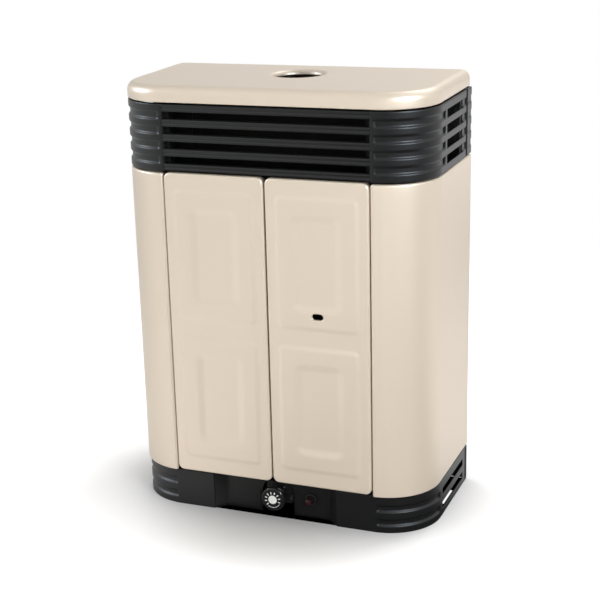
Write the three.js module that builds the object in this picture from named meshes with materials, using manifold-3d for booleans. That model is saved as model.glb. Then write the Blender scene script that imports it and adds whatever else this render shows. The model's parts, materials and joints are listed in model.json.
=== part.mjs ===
// Floor-standing gas convector heater with an enamelled case, pressed grilles and a plinth.
// Millimetres, +Z up, front towards -Y, origin on the floor under the middle of the case.
import * as THREE from "three";
import { mergeVertices } from "three/addons/utils/BufferGeometryUtils.js";
import Module from "manifold-3d";

const wasm = await Module();
wasm.setup();

// Clearances and overruns
const seatGap = 0.3;
const cutOverrun = 5;
const weldDistance = 0.0001;

// Whole case
const caseWidth = 700;
const caseDepth = 356;
const caseHeight = 959;
const casingDepth = 12;
const sheet = 2;

// Plinth, its pressed valleys and its recess for the controls
const plinthHeight = 88;
const plinthSetback = 12;
const plinthSideSetback = 0.5;
const plinthRadius = 118;
const plinthValleyHeight = 13.5;
const plinthValleyReach = 110;
const plinthValleyLow = 23;
const plinthValleyHigh = 56;
const plinthValleyDepth = 6;
const plinthWindowFromFront = 144;
const plinthWindowFromRear = 46;
const recessHalfWidth = 146;
const recessSlope = 23.5;
const recessDepth = 23;
const recessLap = 15;
const knobNotchRadius = 38;

// Base plate
const basePlateThickness = 2.4;
const basePlateInset = 5;
const baseOpeningSideMargin = 17.5;
const baseOpeningFrontMargin = 13;
const baseOpeningRearMargin = 12;

// Enamelled panels
const sidePanelReach = 119;
const seamWidth = 5;
const panelSetback = 2.5;
const panelCornerRadius = 14;
const panelEdgeRadius = 6;
const seamEdgeRadius = 7;
const sideCornerRadius = 119;
const panelSkin = 2;
const fieldSideMargin = 19.5;
const fieldRise = 2.5;
const fieldBevel = 11;
const fieldCornerRadius = 16;
const fieldTopMargin = 33;
const fieldBottomMargin = 33;
const fieldGap = 34;
const centreSideInset = 34.5;
const centreInset = 37;
const centreBevel = 22;
const centreDepth = 3.5;
const centreCornerRadius = 24;
const slotWidth = 25;
const slotHeight = 13;
const slotAboveField = 33.5;
const slotChamfer = 2.5;

// Upper grille
const grilleGap = 2;
const grilleHeight = 145;
const grilleSetback = 10;
const grilleRadius = 110;
const windowPitch = 31.7;
const windowHeight = 15;
const windowCount = 4;
const slatRound = 4;
const lowSlatHeight = 15.8;
const grilleUprightWidth = 2;
const valleyMargin = 12;
const valleyDepth = 3.5;
const valleyFlare = 4;
const sideWindowFromFront = 156;
const frontLand = 18;
const windowRearMargin = 10;
const rearLand = 8;
const rearGrooveWidth = 11;
const rearGrooveDepth = 6;
const rearGrooveFromRear = 56;

// Top frame and cover
const topFrameThickness = 2.4;
const topFrameInset = 8;
const coverSetback = 6;
const coverSideSetback = 1;
const coverRadius = 112;
const coverRearRadius = 10;
const coverEdgeRadius = 9;
const coverSkin = 1.8;
const coverHeight = 33;
const coverLipWidth = 12;
const flueFromRear = 131;
const flueHoleRadius = 55;
const flueRimRadius = 65;
const flueRollDepth = 11;

// Posts, rails and rear panel
const postWidth = 24;
const rearPostInset = 19.8;
const railHeight = 28;
const railBelowPanelTop = 3;
const rearPanelSetback = 2.3;
const rearPanelThickness = 1.5;
const rearPanelSideInset = 6;
const screwHeadRadius = 4.5;
const screwHeadHeight = 2;
const screwShankRadius = 2;
const screwShankLength = 9;
const screwFromEnd = 60;
const ventCount = 4;
const ventWidth = 260;
const ventHeight = 8;
const ventPitch = 22;
const ventFromEnd = 40;

// Combustion chamber and flue
const chamberSideGap = 130;
const chamberRearGap = 71;
const chamberDepth = 170;
const chamberBelowPanelTop = 86;
const chamberWall = 2.5;
const accessSideMargin = 50;
const accessMargin = 45;
const accessLap = 15;
const sightWindowWidth = 60;
const sightWindowHeight = 44;
const sightLap = 7;
const sightGlassThickness = 3;
const frameBorder = 10;
const hoodHalfWidth = 120;
const hoodHalfDepth = 50;
const hoodHeight = 100;
const hoodOutletShare = 0.7;
const diverterHeight = 30;
const spigotRadius = 50;
const spigotWall = 2;
const spigotFlange = 12;
const spigotBelowTop = 21;
const deflectorGap = 37;
const deflectorDrop = 160;
const deflectorFlange = 20;
const shieldBelowChamber = 55;
const shieldBelowPanelTop = 36;
const standHeight = 123.7;
const standLeg = 25;

// Burner and pilot
const burnerBelowChamber = 20;
const burnerRadius = 15;
const burnerEndGap = 35;
const burnerWall = 1.5;
const burnerSlitCount = 12;
const burnerSlitWidth = 3;
const burnerSlitLength = 14;
const burnerBracketFromEnd = 35;
const burnerBracketHeight = 50;
const injectorRadius = 6;
const injectorLength = 16;
const pilotPlateBelowChamber = 27;
const pilotPlateLength = 34;
const pilotPlateWidth = 40;
const pilotPlateFromBurner = 22;
const pilotFromBracket = 20;
const pilotFromBurner = 34;
const pilotRadius = 5;
const pilotHeight = 24;
const thermocoupleFromBracket = 10;
const thermocoupleFromBurner = 46;
const thermocoupleRadius = 3;
const thermocoupleHeight = 30;
const electrodeFromBracket = 27;
const electrodeFromBurner = 52;
const electrodeRadius = 3.4;
const electrodeHeight = 26;
const electrodeTipRadius = 1;
const electrodeTipLength = 10;
const rodDrop = 8;

// Gas valve, knob and igniter
const knobZ = 47;
const knobRadius = 28;
const knobDepth = 22;
const knobRim = 8;
const knobNeckRadius = 13;
const knobEdge = 2;
const knobHubRadius = 11;
const knobHubRise = 0.6;
const knobPush = 4;
const spindleRadius = 4;
const spindleInKnob = 14;
const valveSetback = 48;
const valveDepth = 60;
const valveHalfWidth = 32;
const valveHalfHeight = 25;
const valveChamfer = 6;
const valveBossRadius = 14;
const valveBossLength = 6;
const valveBoreRadius = 9;
const valveBoreLength = 30;
const collarLength = 8;
const portLength = 6;
const igniterX = 80;
const igniterZ = 46.5;
const igniterRadius = 9;
const igniterLength = 42;
const igniterFlangeRadius = 13;
const igniterFlange = 3;
const igniterNutRadius = 14.5;
const igniterNutLength = 6;
const buttonRadius = 6.2;
const buttonReach = 18.7;
const buttonInside = 8;
const buttonTravel = 5;
const inletX = -15;
const inletZ = 40;
const inletThreadRadius = 10;
const inletHexRadius = 15;
const inletHexLength = 12;
const inletBracketFromRear = 32;
const supplyRadius = 6;
const feedRadius = 4;
const pilotTubeRadius = 2.2;
const leadRadius = 1.6;
const bulbRadius = 5;
const bulbLength = 80;
const bulbX = -112;
const bulbFromRear = 56;
const bulbZ = 70;
const inletBracketMargin = 5;
const feedPortX = 10;
const feedPortZ = 52;
const feedRiseBehindValve = 45;
const feedRun = 140;
const feedReach = 18;
const thermocouplePortX = 18;
const thermocouplePortZ = 42;
const thermocoupleRiseBehindValve = 30;
const leadRun = 108;
const pilotPortX = 25;
const pilotPortZ = 62;
const pilotRiseBehindValve = 55;
const pilotRun = 122;
const capillaryPortX = -24;
const capillaryPortZ = 60;
const capillaryTurnBehindValve = 90;
const ignitionRun = 115;
const ignitionTurnBehindValve = 25;
const pipeBend = 14;
const clipWidth = 12;
const clipWall = 3;

// Counts of facets
const cornerSteps = 8;
const smallSteps = 3;
const roundSides = 18;
const flueSides = 26;
const rodSides = 10;
const tubeSides = 6;
const pipeSteps = 18;
const hexSides = 6;

// Planes and places that several pieces share
const frontPlane = -caseDepth / 2;
const rearPlane = caseDepth / 2;
const caseSide = caseWidth / 2;
const grilleFace = frontPlane + grilleSetback;
const panelFace = frontPlane + panelSetback;
const plinthFace = frontPlane + plinthSetback;
const recessFloor = plinthFace + recessDepth;
const recessFloorHalfWidth = recessHalfWidth - recessSlope;
const casingBack = grilleFace + casingDepth;
const postFront = casingBack + seatGap;
const panelDepth = casingBack - panelFace;
const rearPanelFace = rearPlane - rearPanelSetback;
const rearPanelFront = rearPanelFace - rearPanelThickness;
const casingRear = rearPanelFront - seatGap;
const rearPostSide = caseSide - rearPostInset;
const basePlateBottom = plinthHeight + seatGap;
const basePlateTop = basePlateBottom + basePlateThickness;
const panelBottom = basePlateTop + seatGap;
const coverBottom = caseHeight - coverHeight;
const topFrameTop = coverBottom - seatGap;
const topFrameBottom = topFrameTop - topFrameThickness;
const grilleTop = topFrameBottom - seatGap;
const grilleBottom = grilleTop - grilleHeight;
const panelTop = grilleBottom - grilleGap;

// The relief of the front panels and the sight slot's place
const seamX = caseSide - sidePanelReach;
const fieldWidth = seamX - seamWidth - 2 * fieldSideMargin;
const centreWidth = fieldWidth - 2 * centreSideInset;
const fieldHeight = (panelTop - panelBottom - fieldTopMargin - fieldBottomMargin - fieldGap) / 2;
const upperFieldBottom = panelTop - fieldTopMargin - fieldHeight;
const sightX = seamX / 2;
const sightZ = upperFieldBottom + slotAboveField;

// Valleys and windows of the plinth and the upper grille
const plinthValleyStart = caseSide - plinthValleyReach;
const plinthWindowFront = frontPlane + plinthWindowFromFront;
const plinthWindowRear = rearPlane - plinthWindowFromRear;
const rearGrooveRear = rearPlane - rearGrooveFromRear;
const rearGrooveFront = rearGrooveRear - rearGrooveWidth;
const sideValleyRear = rearGrooveFront - rearLand;
const sideWindowRear = sideValleyRear - windowRearMargin;
const sideWindowFront = frontPlane + sideWindowFromFront;
const valleyRear = sideWindowFront - frontLand;

// Chamber, burner and flue
const chamberHalfWidth = caseSide - chamberSideGap;
const chamberRear = rearPlane - chamberRearGap;
const chamberFront = chamberRear - chamberDepth;
const chamberBottom = basePlateTop + seatGap + standHeight + seatGap;
const chamberTop = panelTop - chamberBelowPanelTop;
const accessHalfWidth = chamberHalfWidth - accessSideMargin;
const flueY = rearPlane - flueFromRear;
const spigotTop = caseHeight - spigotBelowTop;
const deflectorY = flueY - hoodHalfDepth - deflectorGap;
const shieldBottom = chamberBottom - shieldBelowChamber;
const shieldTop = panelTop - shieldBelowPanelTop;
const baseOpeningFront = chamberFront + baseOpeningFrontMargin;
const baseOpeningRear = chamberRear - baseOpeningRearMargin;
const burnerY = (chamberFront + chamberRear) / 2;
const burnerZ = chamberBottom - burnerBelowChamber;
const burnerHalfLength = chamberHalfWidth - burnerEndGap;
const burnerBracketX = burnerHalfLength - burnerBracketFromEnd;
const burnerBracketBottom = chamberBottom - burnerBracketHeight;
const pilotPlateZ = chamberBottom - pilotPlateBelowChamber;
const pilotPlateRear = burnerY - pilotPlateFromBurner;
const pilotPlateFront = pilotPlateRear - pilotPlateWidth;
const pilotX = burnerBracketX + pilotFromBracket;
const pilotY = burnerY - pilotFromBurner;
const thermocoupleX = burnerBracketX + thermocoupleFromBracket;
const thermocoupleY = burnerY - thermocoupleFromBurner;
const electrodeX = burnerBracketX + electrodeFromBracket;
const electrodeY = burnerY - electrodeFromBurner;

// Where the ignition lead passes the base plate sets the width of its opening
const leadRise = (basePlateTop - igniterZ) / (ignitionRun - igniterZ);
const leadCrossing = igniterX + leadRise * (electrodeX - igniterX);
const baseOpeningHalfWidth = leadCrossing + baseOpeningSideMargin;

// Valve and pipe runs
const valveFront = frontPlane + valveSetback;
const valveRear = valveFront + valveDepth;
const inletBracketY = rearPlane - inletBracketFromRear;
const bulbY = rearPlane - bulbFromRear;
const feedRiseY = valveRear + feedRiseBehindValve;
const thermocoupleRiseY = valveRear + thermocoupleRiseBehindValve;
const pilotRiseY = valveRear + pilotRiseBehindValve;
const capillaryTurnY = valveRear + capillaryTurnBehindValve;
const ignitionTurnY = valveRear + ignitionTurnBehindValve;

/** A closed solid from a geometry whose faces point out. */
function solid(geometry) {
  const bare = geometry.clone();
  bare.deleteAttribute("normal");
  bare.deleteAttribute("uv");
  const merged = mergeVertices(bare, weldDistance);
  const vertProperties = new Float32Array(merged.attributes.position.array);
  const corners = [];
  for (let i = 0; i < merged.index.count; i += 3) {
    const [a, b, c] = merged.index.array.slice(i, i + 3);
    if (a !== b && b !== c && c !== a) corners.push(a, b, c);
  }
  const triVerts = new Uint32Array(corners);
  return new wasm.Manifold(new wasm.Mesh({ numProp: 3, vertProperties, triVerts }));
}

/** The geometry of a solid, for a mesh. */
function geometryOf(body) {
  const mesh = body.getMesh();
  const geometry = new THREE.BufferGeometry();
  geometry.setAttribute("position", new THREE.BufferAttribute(mesh.vertProperties, 3));
  geometry.setIndex(new THREE.BufferAttribute(mesh.triVerts, 1));
  geometry.computeVertexNormals();
  return geometry;
}

/** The mirror image of a solid across the plane x = 0. */
function mirrored(body) {
  const mesh = body.getMesh();
  const vertProperties = mesh.vertProperties.map((value, i) => (i % 3 === 0 ? -value : value));
  const triVerts = new Uint32Array(mesh.triVerts.length);
  for (let i = 0; i < triVerts.length; i += 3) {
    triVerts.set([mesh.triVerts[i], mesh.triVerts[i + 2], mesh.triVerts[i + 1]], i);
  }
  return new wasm.Manifold(new wasm.Mesh({ numProp: 3, vertProperties, triVerts }));
}

/** A box between two corners. */
function box(x0, x1, y0, y1, z0, z1) {
  const geometry = new THREE.BoxGeometry(x1 - x0, y1 - y0, z1 - z0);
  geometry.translate((x0 + x1) / 2, (y0 + y1) / 2, (z0 + z1) / 2);
  return solid(geometry);
}

/** A round rod between two points. */
function rod(from, to, radius, sides = rodSides) {
  const start = new THREE.Vector3(...from);
  const along = new THREE.Vector3(...to).sub(start);
  const length = along.length();
  const geometry = new THREE.CylinderGeometry(radius, radius, length, sides);
  geometry.translate(0, length / 2, 0);
  const turn = new THREE.Quaternion().setFromUnitVectors(new THREE.Vector3(0, 1, 0), along.normalize());
  geometry.applyQuaternion(turn);
  geometry.translate(...start.toArray());
  return solid(geometry);
}

/** A turned piece: the profile is [radius, height] pairs, its axis then laid along -Y at (x, z). */
function turnedForward(profile, x, z, sides = roundSides) {
  const points = profile.map(([radius, reach]) => new THREE.Vector2(radius, reach));
  const geometry = new THREE.LatheGeometry(points, sides);
  geometry.rotateX(Math.PI);
  geometry.translate(x, 0, z);
  return solid(geometry);
}

/** A turned piece that stands on the Z axis at (x, y). */
function turnedUp(profile, x, y, sides = roundSides) {
  const points = profile.map(([radius, height]) => new THREE.Vector2(radius, height));
  const geometry = new THREE.LatheGeometry(points, sides);
  geometry.rotateX(Math.PI / 2);
  geometry.translate(x, y, 0);
  return solid(geometry);
}

/** A tube through the given points, with its corners rounded by the bend radius. */
function pipe(places, radius, bend, steps) {
  const points = places.map((place) => new THREE.Vector3(...place));
  const path = new THREE.CurvePath();
  let last = points[0];
  for (let i = 1; i < points.length - 1; i += 1) {
    const before = last.clone().sub(points[i]);
    const after = points[i + 1].clone().sub(points[i]);
    const reach = Math.min(bend, before.length() / 2, after.length() / 2);
    const enter = points[i].clone().add(before.setLength(reach));
    const leave = points[i].clone().add(after.setLength(reach));
    path.add(new THREE.LineCurve3(last, enter));
    path.add(new THREE.QuadraticBezierCurve3(enter, points[i], leave));
    last = leave;
  }
  path.add(new THREE.LineCurve3(last, points[points.length - 1]));
  const section = new THREE.Shape(roundPoints(radius, tubeSides));
  return solid(new THREE.ExtrudeGeometry(section, { extrudePath: path, steps }));
}

/** Points on a circle about the origin. */
function roundPoints(radius, sides) {
  return Array.from({ length: sides }, (_, i) => {
    const angle = (i / sides) * 2 * Math.PI;
    return new THREE.Vector2(radius * Math.cos(angle), radius * Math.sin(angle));
  });
}

/** Points of an arc about (x, y) from one angle to another, in quarter turns. */
function arcPoints(x, y, radius, fromQuarter, toQuarter, steps) {
  return Array.from({ length: steps + 1 }, (_, i) => {
    const angle = (fromQuarter + ((toQuarter - fromQuarter) * i) / steps) * (Math.PI / 2);
    return new THREE.Vector2(x + radius * Math.cos(angle), y + radius * Math.sin(angle));
  });
}

/** A solid stacked from outlines: outlineAt(inset) gives as many points at every level. */
function stack(outlineAt, levels) {
  const rings = levels.map(([height, inset]) => outlineAt(inset).map((p) => [p.x, p.y, height]));
  const count = rings[0].length;
  const positions = rings.flat(2);
  const indices = [];
  for (let level = 0; level + 1 < rings.length; level += 1) {
    for (let i = 0; i < count; i += 1) {
      const next = (i + 1) % count;
      const low = level * count;
      const high = low + count;
      indices.push(low + i, low + next, high + next, low + i, high + next, high + i);
    }
  }
  const caps = [[0, true], [rings.length - 1, false]];
  for (const [level, turned] of caps) {
    const outline = outlineAt(levels[level][1]);
    for (const [a, b, c] of THREE.ShapeUtils.triangulateShape(outline, [])) {
      const base = level * count;
      indices.push(base + a, base + (turned ? c : b), base + (turned ? b : c));
    }
  }
  const geometry = new THREE.BufferGeometry();
  geometry.setAttribute("position", new THREE.Float32BufferAttribute(positions, 3));
  geometry.setIndex(indices);
  return geometry;
}

/** A stack whose outline lies in the XZ plane and whose levels are reaches towards -Y. */
function stackForward(outlineAt, levels) {
  return solid(stack(outlineAt, levels).rotateX(Math.PI / 2));
}

/** Levels that round an edge over: the inset grows from 0 to the radius along a quarter circle. */
function roundedLevels(height, radius, direction) {
  return Array.from({ length: smallSteps + 1 }, (_, i) => {
    const angle = (i / smallSteps) * (Math.PI / 2);
    return [height - direction * radius * (1 - Math.sin(angle)), radius * (1 - Math.cos(angle))];
  });
}

/** A rounded rectangle between two corners, drawn in by an inset. */
function rectangleOutline(x0, x1, y0, y1, radius) {
  return (inset) => {
    const corner = radius - inset;
    const left = x0 + radius;
    const right = x1 - radius;
    const low = y0 + radius;
    const high = y1 - radius;
    return [
      ...arcPoints(right, low, corner, -1, 0, smallSteps),
      ...arcPoints(right, high, corner, 0, 1, smallSteps),
      ...arcPoints(left, high, corner, 1, 2, smallSteps),
      ...arcPoints(left, low, corner, 2, 3, smallSteps),
    ];
  };
}

/** The plan of the case: square at the rear, with large round corners at the front. */
function planOutline(side, front, rear, radius, rearRadius) {
  return (inset) => [
    ...arcPoints(side - radius, front + radius, radius - inset, -1, 0, cornerSteps),
    ...arcPoints(side - rearRadius, rear - rearRadius, rearRadius - inset, 0, 1, smallSteps),
    ...arcPoints(rearRadius - side, rear - rearRadius, rearRadius - inset, 1, 2, smallSteps),
    ...arcPoints(radius - side, front + radius, radius - inset, 2, 3, cornerSteps),
  ];
}

/** The plan of a strip that starts on the front, turns the right corner and runs to the rear. */
function stripOutline({ start, side, front, rear, radius, depth, edge }) {
  return (inset) => [
    ...arcPoints(start + edge, front + edge, edge - inset, 2, 3, smallSteps),
    ...arcPoints(side - radius, front + radius, radius - inset, -1, 0, cornerSteps).slice(1),
    new THREE.Vector2(side - inset, rear - inset),
    new THREE.Vector2(side - depth, rear - inset),
    ...arcPoints(side - radius, front + radius, radius - depth, 0, -1, cornerSteps).slice(0, -1),
    new THREE.Vector2(start + 2 * edge, front + depth),
    new THREE.Vector2(start + inset, front + depth),
  ];
}

/** A band that follows the case's front and right side, from an outset to an inset. */
function bandOutline({ start, side, front, rear, radius }, outset) {
  return (inset) => [
    new THREE.Vector2(start, front - outset),
    ...arcPoints(side - radius, front + radius, radius + outset, -1, 0, cornerSteps),
    new THREE.Vector2(side + outset, rear),
    new THREE.Vector2(side - inset, rear),
    ...arcPoints(side - radius, front + radius, radius - inset, 0, -1, cornerSteps),
    new THREE.Vector2(start, front + inset),
  ];
}

/** The same band from an inset that changes with height to a plane behind the casing. */
function reliefOutline({ start, side, front, rear, radius }) {
  const far = casingDepth + cutOverrun;
  return (inset) => [
    new THREE.Vector2(start, front + inset),
    ...arcPoints(side - radius, front + radius, radius - inset, -1, 0, cornerSteps),
    new THREE.Vector2(side - inset, rear),
    new THREE.Vector2(side - far, rear),
    ...arcPoints(side - radius, front + radius, radius - far, 0, -1, cornerSteps),
    new THREE.Vector2(start, front + far),
  ];
}

/** A horizontal outline with round ends. */
function stadiumOutline(x, z, width, height) {
  return (inset) => {
    const radius = height / 2;
    const reach = width / 2 - radius;
    return [
      ...arcPoints(x + reach, z, radius - inset, -1, 1, 2 * smallSteps),
      ...arcPoints(x - reach, z, radius - inset, 1, 3, 2 * smallSteps),
    ];
  };
}

// A pressed valley: its depth at each height, as shares of its depth and half its mouth
const valleyHeightShares = [-1, -0.7, -0.45, 0.45, 0.7, 1];
const valleyDepthShares = [-0.1, 0.2, 1, 1, 0.2, -0.1];
const reliefHeightShares = [-1, -0.45, 0.45, 1];
const reliefDepthShares = [0, 1, 1, 0];

/** What is left of a solid past a plane across X. */
function beyond(body, x) {
  return body.subtract(box(0, x, -caseDepth, caseDepth, -caseHeight, 2 * caseHeight));
}

/** A cutter for one valley, whose mouth is wider than its window by the flare. */
function valleyCutter(plan, start, middle, height, depth) {
  const halfMouth = height / 2 + valleyFlare;
  const levels = valleyHeightShares.map((share, i) => [
    middle + share * halfMouth,
    valleyDepthShares[i] * depth,
  ]);
  return beyond(solid(stack(bandOutline(plan, cutOverrun), levels)), start);
}

/** The hollow behind the pressed sheet, which keeps the sheet's thickness in every valley. */
function valleyRelief(plan, start, bottom, top, middles, height, depth) {
  const halfMouth = height / 2 + valleyFlare;
  const levels = [[bottom, sheet]];
  for (const middle of middles) {
    reliefHeightShares.forEach((share, i) => {
      levels.push([middle + share * halfMouth, reliefDepthShares[i] * depth + sheet]);
    });
  }
  levels.push([top, sheet]);
  return beyond(solid(stack(reliefOutline(plan), levels)), start);
}

/** The enamelled cover: a pressed dish with a rolled edge, a skirt and the flue hole. */
function topCover() {
  const side = caseSide - coverSideSetback;
  const front = frontPlane + coverSetback;
  const plan = planOutline(side, front, rearPlane, coverRadius, coverRearRadius);
  const lowerRound = coverEdgeRadius / 3;
  const outside = solid(stack(plan, [
    [coverBottom, lowerRound],
    [coverBottom + lowerRound / 3, lowerRound / 3],
    [coverBottom + lowerRound, 0],
    ...roundedLevels(caseHeight, coverEdgeRadius, 1),
  ]));
  const inside = solid(stack(plan, [
    [coverBottom + coverSkin, coverSkin],
    [caseHeight - coverEdgeRadius, coverSkin],
    [caseHeight - coverEdgeRadius / 2, coverSkin + coverEdgeRadius / 8],
    [caseHeight - coverSkin, coverEdgeRadius],
  ]));
  const mouth = planOutline(
    side - coverLipWidth, front + coverLipWidth, rearPlane - coverLipWidth,
    coverRadius - coverLipWidth, coverRearRadius,
  );
  const opening = solid(stack(mouth, [
    [coverBottom - cutOverrun, 0],
    [coverBottom + coverSkin + cutOverrun, 0],
  ]));
  return outside.subtract(inside).subtract(opening).add(flueLip()).subtract(flueFlare());
}

// The roll of the cover into the flue hole: outward and downward shares of its size
const rollOutShares = [0, 0.12, 0.45, 1];
const rollDropShares = [1, 0.5, 0.16, 0];

/** The hole through the cover, flared where the sheet rolls down into it. */
function flueFlare() {
  const low = caseHeight - flueRollDepth - coverSkin - cutOverrun;
  const roll = flueRimRadius - flueHoleRadius;
  const curve = rollOutShares.map((share, i) => [
    flueHoleRadius + share * roll,
    caseHeight - rollDropShares[i] * flueRollDepth,
  ]);
  const high = caseHeight + cutOverrun;
  return turnedUp([
    [0, low], [flueHoleRadius, low], ...curve, [flueRimRadius, high], [0, high],
  ], 0, flueY, flueSides);
}

/** The material that stands under the roll, down to the lip's lower edge. */
function flueLip() {
  const inner = flueHoleRadius - coverSkin;
  const outer = flueRimRadius + coverSkin;
  const low = caseHeight - flueRollDepth - coverSkin;
  const high = caseHeight - coverSkin / 2;
  return turnedUp([
    [inner, low], [flueHoleRadius + coverSkin, low],
    [flueHoleRadius + coverSkin, caseHeight - flueRollDepth / 2 - coverSkin],
    [outer, caseHeight - 2 * coverSkin], [outer, high], [inner, high], [inner, low],
  ], 0, flueY, flueSides);
}

/** The flat frame under the cover, which closes the case round the flue. */
function topFrame() {
  const plan = planOutline(
    caseSide - topFrameInset, grilleFace + topFrameInset, casingRear,
    grilleRadius - topFrameInset, coverRearRadius,
  );
  const plate = solid(stack(plan, [[topFrameBottom, 0], [topFrameTop, 0]]));
  const hole = rod(
    [0, flueY, topFrameBottom - cutOverrun], [0, flueY, topFrameTop + cutOverrun],
    spigotRadius + seatGap, flueSides,
  );
  return plate.subtract(hole);
}

/** The bottom of a window of the upper grille, counted from below. */
function windowBottom(index) {
  return grilleBottom + lowSlatHeight + index * windowPitch;
}

/** A bar along X with a flat face and rounded front edges. */
function slat(half, bottom, top) {
  const section = new THREE.Shape([
    ...arcPoints(grilleFace + slatRound, bottom + slatRound, slatRound, 2, 3, smallSteps),
    new THREE.Vector2(casingBack, bottom),
    new THREE.Vector2(casingBack, top),
    ...arcPoints(grilleFace + slatRound, top - slatRound, slatRound, 1, 2, smallSteps),
  ]);
  const bar = new THREE.ExtrudeGeometry(section, { depth: 2 * half, bevelEnabled: false });
  bar.applyMatrix4(new THREE.Matrix4().set(0, 0, 1, -half, 1, 0, 0, 0, 0, 1, 0, 0, 0, 0, 0, 1));
  return solid(bar);
}

/** The slatted front of the upper grille, between its two end uprights. */
function upperGrilleFront() {
  const uprightOuter = seamX + valleyMargin - sheet - seatGap;
  const uprightInner = seamX - grilleUprightWidth;
  const uprightFront = grilleFace + sheet + seatGap;
  const right = box(uprightInner, uprightOuter, uprightFront, casingBack, grilleBottom, grilleTop);
  let whole = right.add(mirrored(right));
  for (let i = 0; i <= windowCount; i += 1) {
    const bottom = i === 0 ? grilleBottom : windowBottom(i - 1) + windowHeight;
    const top = i === windowCount ? grilleTop : windowBottom(i);
    whole = whole.add(slat(seamX - seatGap, bottom, top));
  }
  return whole;
}

/** The right corner and side of the upper grille, with valleys round the corner and windows. */
function upperGrilleCorner() {
  const plan = {
    start: seamX, side: caseSide, front: grilleFace, rear: casingRear, radius: grilleRadius,
  };
  const inside = caseSide - casingDepth - cutOverrun;
  const outside = caseSide + cutOverrun;
  const high = grilleTop + cutOverrun;
  const low = grilleBottom - cutOverrun;
  const valleyStart = seamX + valleyMargin;
  let body = solid(stack(bandOutline(plan, 0), [[grilleBottom, casingDepth], [grilleTop, casingDepth]]));
  const middles = Array.from({ length: windowCount }, (_, i) => windowBottom(i) + windowHeight / 2);
  const relieved = { ...plan, rear: casingRear - sheet };
  const relief = valleyRelief(
    relieved, valleyStart, grilleBottom + sheet, grilleTop - sheet, middles, windowHeight, valleyDepth,
  );
  body = body.subtract(relief.subtract(box(
    inside, outside, rearGrooveFront - sheet, rearGrooveRear + sheet, low, high,
  )));
  body = body.subtract(box(
    seamX - cutOverrun, valleyStart - sheet, grilleFace + sheet, casingBack + cutOverrun, low, high,
  ));
  const landFront = box(inside, outside, valleyRear, sideWindowFront, low, high);
  const landRear = box(inside, outside, sideValleyRear, rearGrooveRear, low, high);
  for (const middle of middles) {
    const valleyPlan = { ...plan, rear: casingRear + cutOverrun };
    const valley = valleyCutter(valleyPlan, valleyStart, middle, windowHeight, valleyDepth);
    body = body.subtract(valley.subtract(landFront).subtract(landRear));
    body = body.subtract(box(
      inside, outside, sideWindowFront, sideWindowRear, middle - windowHeight / 2, middle + windowHeight / 2,
    ));
  }
  return body.subtract(box(caseSide - rearGrooveDepth, outside, rearGrooveFront, rearGrooveRear, low, high));
}

/** The right part of the plinth: front skirt, corner and side, with two valleys and two windows. */
function plinthCorner() {
  const side = caseSide - plinthSideSetback;
  const plan = {
    start: recessHalfWidth, side, front: plinthFace, rear: casingRear, radius: plinthRadius,
  };
  const back = plinthFace + casingDepth;
  const ceiling = plinthHeight - sheet;
  const valleyMiddles = [plinthValleyLow, plinthValleyHigh];
  let body = solid(stack(bandOutline(plan, 0), [[0, casingDepth], [plinthHeight, casingDepth]]));
  const relieved = { ...plan, rear: casingRear - sheet };
  body = body.subtract(valleyRelief(
    relieved, plinthValleyStart, -cutOverrun, ceiling, valleyMiddles, plinthValleyHeight, plinthValleyDepth,
  ));
  body = body.subtract(box(
    recessHalfWidth - cutOverrun, plinthValleyStart - sheet,
    plinthFace + sheet, back + cutOverrun, -cutOverrun, ceiling,
  ));
  for (const middle of valleyMiddles) {
    const valleyPlan = { ...plan, rear: plinthWindowRear + valleyFlare };
    body = body.subtract(valleyCutter(
      valleyPlan, plinthValleyStart, middle, plinthValleyHeight, plinthValleyDepth,
    ));
    body = body.subtract(box(
      side - casingDepth - cutOverrun, side + cutOverrun, plinthWindowFront, plinthWindowRear,
      middle - plinthValleyHeight / 2, middle + plinthValleyHeight / 2,
    ));
  }
  return body;
}

/** The bent sheet between the two plinth halves, set back for the knob and the igniter. */
function controlPanel() {
  const front = plinthFace + sheet + seatGap;
  const face = [
    [-recessHalfWidth - recessLap, front],
    [-recessHalfWidth, front],
    [-recessFloorHalfWidth, recessFloor],
    [recessFloorHalfWidth, recessFloor],
    [recessHalfWidth, front],
    [recessHalfWidth + recessLap, front],
  ].map(([x, y]) => new THREE.Vector2(x, y));
  const back = face.map((p) => new THREE.Vector2(p.x, p.y + sheet)).reverse();
  const outline = new THREE.Shape([...face, ...back]);
  const bent = solid(new THREE.ExtrudeGeometry(outline, { depth: plinthHeight, bevelEnabled: false }));
  const near = plinthFace - cutOverrun;
  const far = recessFloor + sheet + cutOverrun;
  const arch = rod([0, near, knobZ], [0, far, knobZ], knobNotchRadius, flueSides);
  const legs = box(-knobNotchRadius, knobNotchRadius, near, far, -cutOverrun, knobZ);
  const igniterHole = rod(
    [igniterX, near, igniterZ], [igniterX, far, igniterZ], igniterRadius + seatGap, roundSides,
  );
  const underFlange = box(
    recessHalfWidth - seatGap, recessHalfWidth + recessLap + cutOverrun, near, far,
    plinthHeight - sheet - seatGap, plinthHeight + cutOverrun,
  );
  return bent.subtract(arch).subtract(legs).subtract(igniterHole)
    .subtract(underFlange).subtract(mirrored(underFlange));
}

/** The plate that carries the posts, the panels and the stands, open under the burner. */
function basePlate() {
  const plan = planOutline(
    caseSide - basePlateInset, panelFace + basePlateInset, casingRear,
    sideCornerRadius - basePlateInset, coverRearRadius,
  );
  const plate = solid(stack(plan, [[basePlateBottom, 0], [basePlateTop, 0]]));
  const opening = box(
    -baseOpeningHalfWidth, baseOpeningHalfWidth, baseOpeningFront, baseOpeningRear,
    basePlateBottom - cutOverrun, basePlateTop + cutOverrun,
  );
  return plate.subtract(opening);
}

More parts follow.
